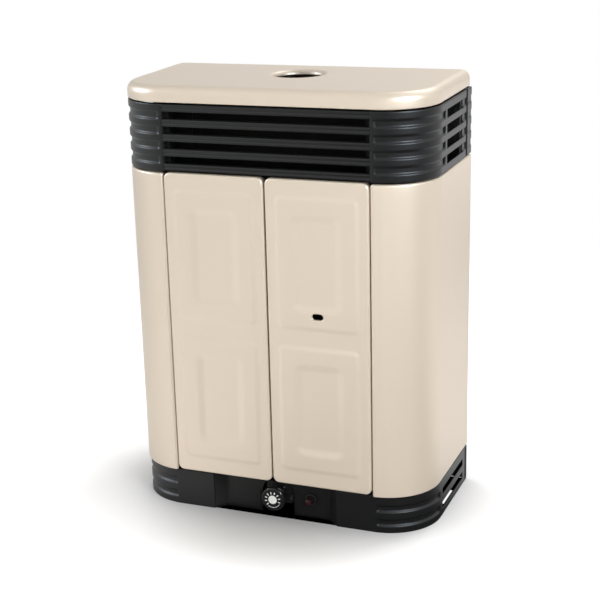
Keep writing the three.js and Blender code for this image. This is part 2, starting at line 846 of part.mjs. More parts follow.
// The slopes of the pressed relief: rise and run shares of a soft step
const reliefRiseShares = [0, 0.15, 0.85, 1];
const reliefRunShares = [0, 0.25, 0.75, 1];

/** A raised field, standing out of the panel's face by its rise. */
function raisedField(x, bottom, top) {
  const outline = rectangleOutline(x - fieldWidth / 2, x + fieldWidth / 2, bottom, top, fieldCornerRadius);
  const levels = reliefRiseShares.map((share, i) => [
    -panelFace + share * fieldRise,
    reliefRunShares[i] * fieldBevel,
  ]);
  return stackForward(outline, [[-panelFace - panelSkin, 0], ...levels]);
}

/** The cutter of a sunken centre, whose walls slope softly down to its floor. */
function sunkenCentre(x, bottom, top) {
  const outline = rectangleOutline(
    x - centreWidth / 2, x + centreWidth / 2, bottom + centreInset, top - centreInset, centreCornerRadius,
  );
  const mouth = -panelFace + fieldRise;
  const levels = reliefRiseShares.map((share, i) => [
    mouth - (1 - share) * centreDepth,
    (1 - reliefRunShares[i]) * centreBevel,
  ]);
  return stackForward(outline, [...levels, [mouth + cutOverrun, 0]]);
}

/** A pressed front panel with two fields; the right one has the sight slot. */
function frontPanel(hasSlot) {
  const inner = seamWidth / 2;
  const outer = seamX - seamWidth / 2;
  const middle = (inner + outer) / 2;
  const outline = rectangleOutline(inner, outer, panelBottom, panelTop, panelCornerRadius);
  const pocketFloor = panelSkin + centreDepth - fieldRise;
  let body = stackForward(outline, [[-casingBack, 0], ...roundedLevels(-panelFace, panelEdgeRadius, 1)]);
  body = body.subtract(stackForward(outline, [
    [-casingBack - cutOverrun, panelSkin],
    [-panelFace - panelEdgeRadius, panelSkin],
    [-panelFace - pocketFloor, panelSkin + panelEdgeRadius / 2],
  ]));
  const bottoms = [panelBottom + fieldBottomMargin, upperFieldBottom];
  for (const bottom of bottoms) {
    body = body.add(raisedField(middle, bottom, bottom + fieldHeight));
    body = body.subtract(sunkenCentre(middle, bottom, bottom + fieldHeight));
  }
  if (!hasSlot) return body;
  const slotOutline = stadiumOutline(sightX, sightZ, slotWidth, slotHeight);
  const mouth = -panelFace + fieldRise;
  return body.subtract(stackForward(slotOutline, [
    [-casingBack - cutOverrun, 0],
    [mouth - slotChamfer, 0],
    [mouth, -slotChamfer],
    [mouth + cutOverrun, -slotChamfer],
  ]));
}

/** The right side panel: a pressed sheet that turns the front corner, with returned edges. */
function sidePanel() {
  const plan = {
    start: seamX + seamWidth / 2, side: caseSide, front: panelFace, rear: casingRear,
    radius: sideCornerRadius, depth: panelDepth, edge: seamEdgeRadius,
  };
  const outside = solid(stack(stripOutline(plan), [
    ...roundedLevels(panelBottom, panelEdgeRadius, -1).reverse(),
    ...roundedLevels(panelTop, panelEdgeRadius, 1),
  ]));
  const hollow = {
    ...plan, start: plan.start + panelSkin, side: plan.side - panelSkin, front: plan.front + panelSkin,
    rear: plan.rear - panelSkin, radius: plan.radius - panelSkin, depth: panelDepth + cutOverrun,
    edge: seamEdgeRadius - panelSkin,
  };
  const inside = solid(stack(stripOutline(hollow), [
    [panelBottom + panelSkin, panelEdgeRadius / 2],
    [panelBottom + panelEdgeRadius, 0],
    [panelTop - panelEdgeRadius, 0],
    [panelTop - panelSkin, panelEdgeRadius / 2],
  ]));
  return outside.subtract(inside);
}

/** An upright angle: one leg along X from its heel, one leg along Y. */
function angle(heelX, towardX, heelY, towardY, bottom, top) {
  const endX = heelX + towardX * postWidth;
  const endY = heelY + towardY * postWidth;
  const skinX = heelX + towardX * sheet;
  const skinY = heelY + towardY * sheet;
  const across = box(
    Math.min(heelX, endX), Math.max(heelX, endX), Math.min(heelY, skinY), Math.max(heelY, skinY), bottom, top,
  );
  const along = box(
    Math.min(heelX, skinX), Math.max(heelX, skinX), Math.min(heelY, endY), Math.max(heelY, endY), bottom, top,
  );
  return across.add(along);
}

/** The right front upright, behind the seam between the front and side panels. */
function frontPost() {
  return angle(
    seamX - postWidth / 2, 1, postFront, 1, basePlateTop + seatGap, topFrameBottom - seatGap,
  );
}

const screwX = rearPostSide - postWidth / 2;
const screwHeights = [panelBottom + screwFromEnd, grilleTop - screwFromEnd];

/** A hole along Y for a screw's shank. */
function screwHole(x, z, from, to) {
  return rod([x, from - cutOverrun, z], [x, to + cutOverrun, z], screwShankRadius + seatGap);
}

/** The right rear upright, which the rear panel is screwed to. */
function rearPost() {
  const post = angle(
    rearPostSide, -1, casingRear, -1, basePlateTop + seatGap, topFrameBottom - seatGap,
  );
  return screwHeights.reduce(
    (body, z) => body.subtract(screwHole(screwX, z, casingRear - sheet, casingRear)), post,
  );
}

/** The channel between the front uprights, which the front panels hang on. */
function frontRail() {
  const end = seamX - postWidth / 2 - seatGap;
  const top = panelTop - railBelowPanelTop;
  const bottom = top - railHeight;
  const web = box(-end, end, postFront, postFront + sheet, bottom, top);
  const upper = box(-end, end, postFront, postFront + casingDepth, top - sheet, top);
  const lower = box(-end, end, postFront, postFront + casingDepth, bottom, bottom + sheet);
  return web.add(upper).add(lower);
}

/** The rear panel, with vents low down and high up. */
function rearPanel() {
  const side = caseSide - rearPanelSideInset;
  let body = box(-side, side, rearPanelFront, rearPanelFace, panelBottom, grilleTop);
  for (let i = 0; i < ventCount; i += 1) {
    const fromEnd = ventFromEnd + i * ventPitch;
    for (const middle of [panelBottom + fromEnd, grilleTop - fromEnd]) {
      body = body.subtract(box(
        -ventWidth / 2, ventWidth / 2, rearPanelFront - cutOverrun, rearPanelFace + cutOverrun,
        middle - ventHeight / 2, middle + ventHeight / 2,
      ));
    }
  }
  for (const x of [-screwX, screwX]) {
    for (const z of screwHeights) body = body.subtract(screwHole(x, z, rearPanelFront, rearPanelFace));
  }
  return body;
}

/** A pan-head screw along Y whose head's seat is at the origin and whose head faces +Y. */
function screw() {
  return solid(new THREE.LatheGeometry([
    new THREE.Vector2(0, -screwShankLength),
    new THREE.Vector2(screwShankRadius, -screwShankLength),
    new THREE.Vector2(screwShankRadius, 0),
    new THREE.Vector2(screwHeadRadius, 0),
    new THREE.Vector2(screwHeadRadius, screwHeadHeight / 2),
    new THREE.Vector2(screwHeadRadius / 2, screwHeadHeight),
    new THREE.Vector2(0, screwHeadHeight),
  ], rodSides));
}

/** The steel combustion chamber, open below, with an access opening in its front wall. */
function combustionChamber() {
  const outside = box(
    -chamberHalfWidth, chamberHalfWidth, chamberFront, chamberRear, chamberBottom, chamberTop,
  );
  const inside = box(
    chamberWall - chamberHalfWidth, chamberHalfWidth - chamberWall, chamberFront + chamberWall,
    chamberRear - chamberWall, chamberBottom - cutOverrun, chamberTop - chamberWall,
  );
  const access = box(
    -accessHalfWidth, accessHalfWidth, chamberFront - cutOverrun, chamberFront + chamberWall + cutOverrun,
    chamberBottom + accessMargin, chamberTop - accessMargin,
  );
  const outletHalfWidth = hoodHalfWidth * hoodOutletShare;
  const outletHalfDepth = hoodHalfDepth * hoodOutletShare;
  const outlet = box(
    -outletHalfWidth, outletHalfWidth, flueY - outletHalfDepth, flueY + outletHalfDepth,
    chamberTop - chamberWall - cutOverrun, chamberTop + cutOverrun,
  );
  return outside.subtract(inside).subtract(access).subtract(outlet);
}

const accessBack = chamberFront - seatGap;
const accessFront = accessBack - sheet;
const glassHalfWidth = sightWindowWidth / 2 + sightLap;
const glassHalfHeight = sightWindowHeight / 2 + sightLap;
const glassBack = accessFront - seatGap;
const glassFront = glassBack - sightGlassThickness;

/** A box in front of the access plate, centred on the sight window. */
function sightBox(halfWidth, halfHeight, front, back) {
  return box(sightX - halfWidth, sightX + halfWidth, front, back, sightZ - halfHeight, sightZ + halfHeight);
}

/** The window through the pieces in front of the flame. */
function sightWindow(front, back) {
  return sightBox(sightWindowWidth / 2, sightWindowHeight / 2, front - cutOverrun, back + cutOverrun);
}

/** The plate that closes the chamber's access opening and carries the sight glass. */
function accessPlate() {
  const plate = box(
    -accessHalfWidth - accessLap, accessHalfWidth + accessLap, accessFront, accessBack,
    chamberBottom + accessMargin - accessLap, chamberTop - accessMargin + accessLap,
  );
  return plate.subtract(sightWindow(accessFront, accessBack));
}

/** The frame that holds the sight glass against the access plate. */
function sightFrame() {
  const front = glassFront - seatGap - sheet;
  const outside = sightBox(glassHalfWidth + frameBorder, glassHalfHeight + frameBorder, front, glassBack);
  const pocket = sightBox(
    glassHalfWidth + seatGap, glassHalfHeight + seatGap, glassFront - seatGap, glassBack + cutOverrun,
  );
  return outside.subtract(pocket).subtract(sightWindow(front, glassBack));
}

const hoodBottom = chamberTop + seatGap;
const hoodTop = hoodBottom + hoodHeight;

/** The hood over the chamber's outlet, with the draught diverter's opening in its front. */
function flueHood() {
  const outside = box(
    -hoodHalfWidth, hoodHalfWidth, flueY - hoodHalfDepth, flueY + hoodHalfDepth, hoodBottom, hoodTop,
  );
  const inside = box(
    sheet - hoodHalfWidth, hoodHalfWidth - sheet, flueY - hoodHalfDepth + sheet,
    flueY + hoodHalfDepth - sheet, hoodBottom - cutOverrun, hoodTop - sheet,
  );
  const diverterHalf = hoodHalfWidth * hoodOutletShare;
  const middle = (hoodBottom + hoodTop) / 2;
  const diverter = box(
    -diverterHalf, diverterHalf, flueY - hoodHalfDepth - cutOverrun, flueY,
    middle - diverterHeight / 2, middle + diverterHeight / 2,
  );
  const outlet = rod(
    [0, flueY, hoodTop - sheet - cutOverrun], [0, flueY, hoodTop + cutOverrun],
    spigotRadius - spigotWall, flueSides,
  );
  return outside.subtract(inside).subtract(diverter).subtract(outlet);
}

/** The flanged pipe that stands on the hood and ends under the cover's hole. */
function flueSpigot() {
  const foot = hoodTop + seatGap;
  return turnedUp([
    [spigotRadius - spigotWall, foot], [spigotRadius + spigotFlange, foot],
    [spigotRadius + spigotFlange, foot + sheet], [spigotRadius, foot + sheet],
    [spigotRadius, spigotTop], [spigotRadius - spigotWall, spigotTop],
    [spigotRadius - spigotWall, foot],
  ], 0, flueY, flueSides);
}

/** The sheet that turns the warm air forward through the grille. */
function airDeflector() {
  const half = seamX - postWidth / 2 - seatGap;
  const top = topFrameBottom - seatGap;
  const wall = box(-half, half, deflectorY, deflectorY + sheet, grilleTop - deflectorDrop, top);
  return wall.add(box(-half, half, deflectorY - deflectorFlange, deflectorY + sheet, top - sheet, top));
}

/** The radiation shield between the chamber and the rear panel. */
function heatShield() {
  const rear = casingRear - postWidth - seatGap;
  return box(-rearPostSide, rearPostSide, rear - sheet, rear, shieldBottom, shieldTop);
}

/** A portal stand under the chamber's front or rear wall. */
function chamberStand(front) {
  const bottom = basePlateTop + seatGap;
  const top = chamberBottom - seatGap;
  const plate = box(-chamberHalfWidth, chamberHalfWidth, front, front + sheet, bottom, top);
  const window = box(
    standLeg - chamberHalfWidth, chamberHalfWidth - standLeg, front - cutOverrun, front + sheet + cutOverrun,
    bottom + standLeg, top - standLeg,
  );
  return plate.subtract(window);
}

/** The right burner bracket, between the stands. */
function burnerBracket() {
  const plate = box(
    burnerBracketX, burnerBracketX + sheet, chamberFront + sheet + seatGap, chamberRear - sheet - seatGap,
    burnerBracketBottom, chamberBottom - seatGap,
  );
  const hole = rod(
    [burnerBracketX - cutOverrun, burnerY, burnerZ], [burnerBracketX + sheet + cutOverrun, burnerY, burnerZ],
    burnerRadius + seatGap, roundSides,
  );
  return plate.subtract(hole);
}

/** The tubular burner: flame slits on top, and a socket for the injector at its left end. */
function burnerBar() {
  const outside = rod(
    [-burnerHalfLength, burnerY, burnerZ], [burnerHalfLength, burnerY, burnerZ], burnerRadius, roundSides,
  );
  const inner = burnerHalfLength - burnerWall;
  const inside = rod(
    [-inner, burnerY, burnerZ], [inner, burnerY, burnerZ], burnerRadius - burnerWall, roundSides,
  );
  const socket = rod(
    [-burnerHalfLength - cutOverrun, burnerY, burnerZ], [cutOverrun - inner, burnerY, burnerZ],
    injectorRadius + seatGap,
  );
  let body = outside.subtract(inside).subtract(socket);
  const slitPitch = (2 * (burnerBracketX - sheet)) / burnerSlitCount;
  for (let i = 1; i < burnerSlitCount; i += 1) {
    const x = i * slitPitch - slitPitch * (burnerSlitCount / 2);
    body = body.subtract(box(
      x - burnerSlitWidth / 2, x + burnerSlitWidth / 2, burnerY - burnerSlitLength / 2,
      burnerY + burnerSlitLength / 2, burnerZ + burnerRadius / 2, burnerZ + burnerRadius + cutOverrun,
    ));
  }
  return body;
}

/** The brass injector in the burner's socket. */
function injector() {
  const tip = -burnerHalfLength + burnerWall;
  const seat = -burnerHalfLength - seatGap;
  const nozzle = rod([seat, burnerY, burnerZ], [tip, burnerY, burnerZ], injectorRadius);
  const body = rod(
    [seat - injectorLength, burnerY, burnerZ], [seat, burnerY, burnerZ], injectorRadius + sheet, hexSides,
  );
  return nozzle.add(body);
}

const pilotPlateLeft = burnerBracketX + sheet + seatGap;

/** The bracket that carries the pilot burner, the thermocouple and the spark electrode. */
function pilotBracket() {
  const shelf = box(
    pilotPlateLeft, pilotPlateLeft + pilotPlateLength, pilotPlateFront, pilotPlateRear,
    pilotPlateZ, pilotPlateZ + sheet,
  );
  const flange = box(
    pilotPlateLeft, pilotPlateLeft + sheet, pilotPlateFront, pilotPlateRear,
    burnerBracketBottom, pilotPlateZ + sheet,
  );
  const holes = [
    [pilotX, pilotY, pilotRadius],
    [thermocoupleX, thermocoupleY, thermocoupleRadius],
    [electrodeX, electrodeY, electrodeRadius],
  ];
  return holes.reduce((body, [x, y, radius]) => body.subtract(rod(
    [x, y, pilotPlateZ - cutOverrun], [x, y, pilotPlateZ + sheet + cutOverrun], radius + seatGap,
  )), shelf.add(flange));
}

const pilotSeat = pilotPlateZ + sheet + seatGap;
const rodFoot = pilotPlateZ - rodDrop;

/** A rod that stands in the pilot bracket on its own shoulder. */
function shoulderedRod(x, y, radius, height, tipRadius, tipLength) {
  return turnedUp([
    [0, rodFoot], [radius, rodFoot], [radius, pilotSeat], [radius + sheet, pilotSeat],
    [radius + sheet, pilotSeat + sheet], [radius, pilotSeat + sheet],
    [radius, pilotSeat + height - tipLength], [tipRadius, pilotSeat + height - tipLength],
    [tipRadius, pilotSeat + height], [0, pilotSeat + height],
  ], x, y, rodSides);
}

/** The pilot burner, a brass nozzle on a shoulder. */
function pilotBurner() {
  return shoulderedRod(pilotX, pilotY, pilotRadius, pilotHeight, pilotRadius / 2, pilotRadius);
}

/** The thermocouple: its probe and the lead down to the valve. */
function thermocouple() {
  const probe = shoulderedRod(
    thermocoupleX, thermocoupleY, thermocoupleRadius, thermocoupleHeight, thermocoupleRadius / 2, rodDrop,
  );
  const port = ports.thermocouple;
  const lead = pipe([
    [thermocoupleX, thermocoupleY, rodFoot + sheet],
    [thermocoupleX, thermocoupleY, leadRun],
    [port.x, thermocoupleRiseY, leadRun],
    [port.x, thermocoupleRiseY, port.z],
    [port.x, portFace, port.z],
  ], leadRadius, pipeBend, pipeSteps);
  return probe.add(lead);
}

/** The spark electrode: a ceramic rod with a wire tip. */
function sparkElectrode() {
  return shoulderedRod(
    electrodeX, electrodeY, electrodeRadius, electrodeHeight, electrodeTipRadius, electrodeTipLength,
  );
}

/** The lead from the igniter's rear end up to the electrode. */
function ignitionLead() {
  return pipe([
    [electrodeX, electrodeY, rodFoot - seatGap],
    [electrodeX, electrodeY, ignitionRun],
    [igniterX, ignitionTurnY, igniterZ],
    [igniterX, igniterRear + seatGap, igniterZ],
  ], leadRadius, pipeBend, pipeSteps);
}

// Ports on the valve's rear face, each with its place and radius
const ports = {
  supply: { x: inletX, z: inletZ, radius: supplyRadius + sheet },
  feed: { x: feedPortX, z: feedPortZ, radius: feedRadius + sheet },
  thermocouple: { x: thermocouplePortX, z: thermocouplePortZ, radius: leadRadius + sheet },
  pilot: { x: pilotPortX, z: pilotPortZ, radius: pilotTubeRadius + sheet },
  capillary: { x: capillaryPortX, z: capillaryPortZ, radius: leadRadius + sheet },
};
const portFace = valveRear + portLength + seatGap;
const valveNose = valveFront - valveBossLength;
const boreFront = valveFront + sheet;
const boreRear = boreFront + valveBoreLength;
const bracketInner = valveHalfWidth + seatGap;
const bracketTop = basePlateBottom - seatGap;
const valveScrewY = (valveFront + valveRear) / 2;

/** The alloy body of the gas valve, with its boss, bore and ports. */
function gasValveBody() {
  const bottom = knobZ - valveHalfHeight;
  const top = knobZ + valveHalfHeight;
  const outline = rectangleOutline(-valveHalfWidth, valveHalfWidth, bottom, top, valveChamfer);
  let body = stackForward(outline, [
    [-valveRear, sheet], [-valveRear + sheet, 0], [-valveFront - sheet, 0], [-valveFront, sheet],
  ]);
  body = body.add(rod([0, valveNose, knobZ], [0, valveFront + sheet, knobZ], valveBossRadius, roundSides));
  for (const { x, z, radius } of Object.values(ports)) {
    body = body.add(rod([x, valveRear - sheet, z], [x, valveRear + portLength, z], radius));
  }
  body = body.subtract(rod([0, boreFront, knobZ], [0, boreRear, knobZ], valveBoreRadius, roundSides));
  body = body.subtract(rod(
    [0, valveNose - cutOverrun, knobZ], [0, boreFront + cutOverrun, knobZ],
    spindleRadius + seatGap, roundSides,
  ));
  for (const side of [-1, 1]) {
    body = body.subtract(rod(
      [side * (bracketInner + sheet - screwShankLength - seatGap), valveScrewY, knobZ],
      [side * (valveHalfWidth + cutOverrun), valveScrewY, knobZ], screwShankRadius + seatGap,
    ));
  }
  return body;
}

/** The bracket that hangs the valve under the base plate. */
function valveBracket() {
  const outer = bracketInner + sheet;
  const front = valveFront + valveChamfer;
  const rear = valveRear - valveChamfer;
  const bottom = knobZ - valveHalfHeight + valveChamfer;
  const whole = box(-outer, outer, front, rear, bottom, bracketTop);
  const inside = box(
    -bracketInner, bracketInner, front - cutOverrun, rear + cutOverrun,
    bottom - cutOverrun, bracketTop - sheet,
  );
  const hole = rod(
    [-outer - cutOverrun, valveScrewY, knobZ], [outer + cutOverrun, valveScrewY, knobZ],
    screwShankRadius + seatGap,
  );
  return whole.subtract(inside).subtract(hole);
}

/** The collar that slides in the valve's bore and carries the spindle. */
function spindleCollar() {
  const reach = -(boreFront + sheet);
  const inner = spindleRadius + seatGap;
  const outer = valveBoreRadius - seatGap;
  return turnedForward([
    [inner, reach - collarLength], [outer, reach - collarLength], [outer, reach], [inner, reach],
    [inner, reach - collarLength],
  ], 0, knobZ);
}

const knobFront = frontPlane;
const knobRear = knobFront + knobDepth;

/** The spindle from the valve's bore into the knob. */
function valveSpindle() {
  const rear = boreRear - knobPush - cutOverrun / 2;
  return rod([0, knobRear - spindleInKnob, knobZ], [0, rear, knobZ], spindleRadius, roundSides);
}

/** The round control knob: a disc on a neck, with a raised middle on its face. */
function controlKnob() {
  const front = -knobFront;
  const face = front - knobHubRise;
  const rear = -knobRear;
  const bore = spindleRadius + seatGap;
  const boreEnd = rear + spindleInKnob + seatGap;
  const rim = front - knobRim;
  return turnedForward([
    [0, boreEnd], [bore, boreEnd], [bore, rear], [knobNeckRadius, rear],
    [knobNeckRadius, rim], [knobRadius - knobEdge, rim],
    [knobRadius, rim + knobEdge], [knobRadius, face - knobEdge],
    [knobRadius - knobEdge / 4, face - knobEdge / 2], [knobRadius - knobEdge, face],
    [knobHubRadius, face], [knobHubRadius, front], [0, front],
  ], 0, knobZ, flueSides);
}

const igniterFlangeFront = recessFloor + sheet + seatGap;
const igniterNose = recessFloor - seatGap - igniterNutLength;
const igniterRear = igniterNose + igniterLength;

/** The piezo igniter's body, through the control panel, with a bore for its button. */
function igniterBody() {
  const nose = -igniterNose;
  const flange = -igniterFlangeFront;
  const bore = buttonRadius + seatGap;
  const boreEnd = nose - buttonInside - buttonTravel - sheet;
  return turnedForward([
    [0, -igniterRear], [igniterRadius, -igniterRear], [igniterRadius, flange - igniterFlange],
    [igniterFlangeRadius, flange - igniterFlange], [igniterFlangeRadius, flange],
    [igniterRadius, flange], [igniterRadius, nose], [bore, nose], [bore, boreEnd], [0, boreEnd],
  ], igniterX, igniterZ);
}

/** The ring nut that clamps the igniter to the front of the control panel. */
function igniterNut() {
  const rear = -recessFloor + seatGap;
  const inner = igniterRadius + seatGap;
  return turnedForward([
    [inner, rear], [igniterNutRadius, rear], [igniterNutRadius, rear + igniterNutLength - sheet],
    [igniterNutRadius - sheet, rear + igniterNutLength], [inner, rear + igniterNutLength], [inner, rear],
  ], igniterX, igniterZ);
}

/** The igniter's push button, with a domed end. */
function igniterButton() {
  const nose = -igniterNose;
  const tip = nose + buttonReach;
  return turnedForward([
    [0, nose - buttonInside], [buttonRadius, nose - buttonInside], [buttonRadius, tip - sheet],
    [buttonRadius - sheet, tip - sheet / 4], [0, tip],
  ], igniterX, igniterZ);
}

/** The bracket under the rear of the base plate that holds the gas inlet. */
function inletBracket() {
  const half = inletHexRadius + inletBracketMargin;
  const bottom = inletZ - half;
  const wall = box(inletX - half, inletX + half, inletBracketY, inletBracketY + sheet, bottom, bracketTop);
  const foot = box(
    inletX - half, inletX + half, inletBracketY - half, inletBracketY + sheet, bracketTop - sheet, bracketTop,
  );
  const hole = rod(
    [inletX, inletBracketY - cutOverrun, inletZ], [inletX, inletBracketY + sheet + cutOverrun, inletZ],
    inletThreadRadius + seatGap, roundSides,
  );
  return wall.add(foot).subtract(hole);
}

const inletHexRear = inletBracketY - seatGap;
const inletHexFront = inletHexRear - inletHexLength;

/** The brass inlet fitting, threaded end to the rear. */
function inletFitting() {
  const hex = rod([inletX, inletHexFront, inletZ], [inletX, inletHexRear, inletZ], inletHexRadius, hexSides);
  const end = rearPlane - rearPanelSetback;
  const thread = rod([inletX, inletHexFront, inletZ], [inletX, end, inletZ], inletThreadRadius, roundSides);
  const bore = rod(
    [inletX, inletHexRear, inletZ], [inletX, end + cutOverrun, inletZ], supplyRadius, roundSides,
  );
  return hex.add(thread).subtract(bore);
}

/** The lock nut behind the inlet bracket. */
function inletNut() {
  const front = inletBracketY + sheet + seatGap;
  const rear = front + inletHexLength / 2;
  const hex = rod([inletX, front, inletZ], [inletX, rear, inletZ], inletHexRadius, hexSides);
  return hex.subtract(rod(
    [inletX, front - cutOverrun, inletZ], [inletX, rear + cutOverrun, inletZ],
    inletThreadRadius + seatGap, roundSides,
  ));
}

/** The pipe from the inlet fitting to the valve. */
function supplyPipe() {
  return rod([inletX, portFace, inletZ], [inletX, inletHexFront - seatGap, inletZ], supplyRadius);
}

/** The pipe from the valve up to the injector. */
function burnerFeedPipe() {
  const port = ports.feed;
  const injectorRear = -burnerHalfLength - 2 * seatGap - injectorLength;
  const far = injectorRear - feedReach;
  return pipe([
    [port.x, portFace, port.z],
    [port.x, feedRiseY, port.z],
    [port.x, feedRiseY, feedRun],
    [far, feedRiseY, feedRun],
    [far, burnerY, feedRun],
    [far, burnerY, burnerZ],
    [injectorRear, burnerY, burnerZ],
  ], feedRadius, pipeBend, 2 * pipeSteps);
}

/** The tube from the valve up to the pilot burner. */
function pilotTube() {
  const port = ports.pilot;
  return pipe([
    [pilotX, pilotY, rodFoot - seatGap],
    [pilotX, pilotY, pilotRun],
    [port.x, pilotRiseY, pilotRun],
    [port.x, pilotRiseY, port.z],
    [port.x, portFace, port.z],
  ], pilotTubeRadius, pipeBend, pipeSteps);
}

/** The thermostat's bulb, under the base plate, with its capillary from the valve. */
function thermostatBulb() {
  const port = ports.capillary;
  const capillary = pipe([
    [port.x, portFace, port.z],
    [port.x, capillaryTurnY, port.z],
    [bulbX + pipeBend, bulbY, bulbZ],
    [bulbX - sheet, bulbY, bulbZ],
  ], leadRadius, pipeBend, pipeSteps);
  return capillary.add(rod([bulbX, bulbY, bulbZ], [bulbX - bulbLength, bulbY, bulbZ], bulbRadius));
}

/** The clip that hangs the bulb under the base plate. */
function bulbClip() {
  const middle = bulbX - bulbLength / 2;
  const half = bulbRadius + clipWall;
  const block = box(
    middle - clipWidth / 2, middle + clipWidth / 2, bulbY - half, bulbY + half, bulbZ - half, bracketTop,
  );
  return block.subtract(rod(
    [middle - clipWidth, bulbY, bulbZ], [middle + clipWidth, bulbY, bulbZ], bulbRadius + seatGap,
  ));
}

const finishes = {
  enamel: { color: 0xdcc9b2, roughness: 0.22, metalness: 0 },
  blackEnamel: { color: 0x141414, roughness: 0.3, metalness: 0 },
  blackPlastic: { color: 0x101010, roughness: 0.4, metalness: 0 },
  redPlastic: { color: 0x4a1a16, roughness: 0.4, metalness: 0 },
  galvanised: { color: 0x9a9d9e, roughness: 0.45, metalness: 1 },
  chamberSteel: { color: 0x3b3836, roughness: 0.7, metalness: 0.6 },
  aluminised: { color: 0xa9abab, roughness: 0.4, metalness: 1 },
  alloy: { color: 0xb8bbbd, roughness: 0.35, metalness: 1 },
  brass: { color: 0xb8934c, roughness: 0.35, metalness: 1 },
  copper: { color: 0xb06a44, roughness: 0.35, metalness: 1 },
  zincSteel: { color: 0xb5b7b3, roughness: 0.35, metalness: 1 },
  glass: { color: 0x8a8474, roughness: 0.1, metalness: 0 },
  ceramic: { color: 0xe9e5db, roughness: 0.4, metalness: 0 },
  silicone: { color: 0x7a2a1e, roughness: 0.6, metalness: 0 },
};
const materials = Object.fromEntries(
  Object.entries(finishes).map(([name, values]) => [name, new THREE.MeshStandardMaterial(values)]),
);

/** A named mesh of a solid in a group. */
function put(group, name, body, finish) {
  const mesh = new THREE.Mesh(geometryOf(body), materials[finish]);
  mesh.name = name;
  group.add(mesh);
  return mesh;
}

/** A left and a right mesh from the right one's solid. */
function putPair(group, name, right, finish) {
  put(group, `right_${name}`, right, finish);
  put(group, `left_${name}`, mirrored(right), finish);
}

function casing() {
  const group = new THREE.Group();
  put(group, "top_cover", topCover(), "enamel");
  put(group, "top_frame", topFrame(), "blackEnamel");
  put(group, "upper_grille_front", upperGrilleFront(), "blackEnamel");
  putPair(group, "upper_grille", upperGrilleCorner(), "blackEnamel");
  put(group, "right_front_panel", frontPanel(true), "enamel");
  put(group, "left_front_panel", mirrored(frontPanel(false)), "enamel");
  putPair(group, "side_panel", sidePanel(), "enamel");
  putPair(group, "plinth", plinthCorner(), "blackEnamel");
  put(group, "control_panel", controlPanel(), "blackEnamel");
  put(group, "rear_panel", rearPanel(), "galvanised");
  return group;
}

function frame() {
  const group = new THREE.Group();
  put(group, "base_plate", basePlate(), "blackEnamel");
  putPair(group, "front_post", frontPost(), "blackEnamel");
  putPair(group, "rear_post", rearPost(), "galvanised");
  put(group, "front_rail", frontRail(), "blackEnamel");
  const fastener = screw();
  const corners = [[-screwX, 0], [screwX, 0], [-screwX, 1], [screwX, 1]];
  corners.forEach(([x, row], i) => {
    const mesh = put(group, `rear_panel_screw_${i + 1}`, fastener, "zincSteel");
    mesh.position.set(x, rearPanelFace + seatGap, screwHeights[row]);
  });
  return group;
}

function hearth() {
  const group = new THREE.Group();
  put(group, "combustion_chamber", combustionChamber(), "chamberSteel");
  put(group, "access_plate", accessPlate(), "chamberSteel");
  put(group, "sight_glass", sightBox(glassHalfWidth, glassHalfHeight, glassFront, glassBack), "glass");
  put(group, "sight_glass_frame", sightFrame(), "zincSteel");
  put(group, "flue_hood", flueHood(), "aluminised");
  put(group, "flue_spigot", flueSpigot(), "chamberSteel");
  put(group, "air_deflector", airDeflector(), "blackEnamel");
  put(group, "heat_shield", heatShield(), "aluminised");
  put(group, "front_stand", chamberStand(chamberFront), "galvanised");
  put(group, "rear_stand", chamberStand(chamberRear - sheet), "galvanised");
  putPair(group, "burner_bracket", burnerBracket(), "galvanised");
  put(group, "burner_bar", burnerBar(), "aluminised");
  put(group, "injector", injector(), "brass");
  put(group, "pilot_bracket", pilotBracket(), "galvanised");
  put(group, "pilot_burner", pilotBurner(), "brass");
  put(group, "thermocouple", thermocouple(), "copper");
  put(group, "spark_electrode", sparkElectrode(), "ceramic");
  return group;
}

function controls() {
  const group = new THREE.Group();
  put(group, "gas_valve_body", gasValveBody(), "alloy");
  put(group, "valve_bracket", valveBracket(), "blackEnamel");
  put(group, "spindle_collar", spindleCollar(), "brass");
  put(group, "valve_spindle", valveSpindle(), "zincSteel");
  put(group, "control_knob", controlKnob(), "blackPlastic");
  put(group, "igniter_body", igniterBody(), "blackPlastic");
  put(group, "igniter_nut", igniterNut(), "blackPlastic");
  put(group, "igniter_button", igniterButton(), "redPlastic");
  put(group, "ignition_lead", ignitionLead(), "silicone");
  put(group, "inlet_bracket", inletBracket(), "galvanised");
  put(group, "inlet_fitting", inletFitting(), "brass");
  put(group, "inlet_nut", inletNut(), "brass");
  put(group, "supply_pipe", supplyPipe(), "copper");
  put(group, "burner_feed_pipe", burnerFeedPipe(), "copper");
  put(group, "pilot_tube", pilotTube(), "aluminised");
  put(group, "thermostat_bulb", thermostatBulb(), "copper");
  put(group, "bulb_clip", bulbClip(), "zincSteel");
  const fastener = screw();
  [-1, 1].forEach((side, i) => {
    const mesh = put(group, `valve_screw_${i + 1}`, fastener, "zincSteel");
    mesh.rotation.z = -side * (Math.PI / 2);
    mesh.position.set(side * (bracketInner + sheet + seatGap), valveScrewY, knobZ);
  });
  return group;
}

const heater = new THREE.Group();
heater.add(casing(), frame(), hearth(), controls());

export default heater;
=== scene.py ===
"""A floor-standing gas convector heater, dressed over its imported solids.

The pieces' sizes are in millimetres, the studio's in metres and degrees, and the meshes in
metres, with +Z up, the front towards -Y and the origin on the floor under the case's middle.
"""

import json
import logging
import math
from dataclasses import dataclass, field
from enum import Enum
from typing import Callable, Iterable, Optional

import bmesh
import bpy
import numpy as np
from mathutils import Matrix, Vector


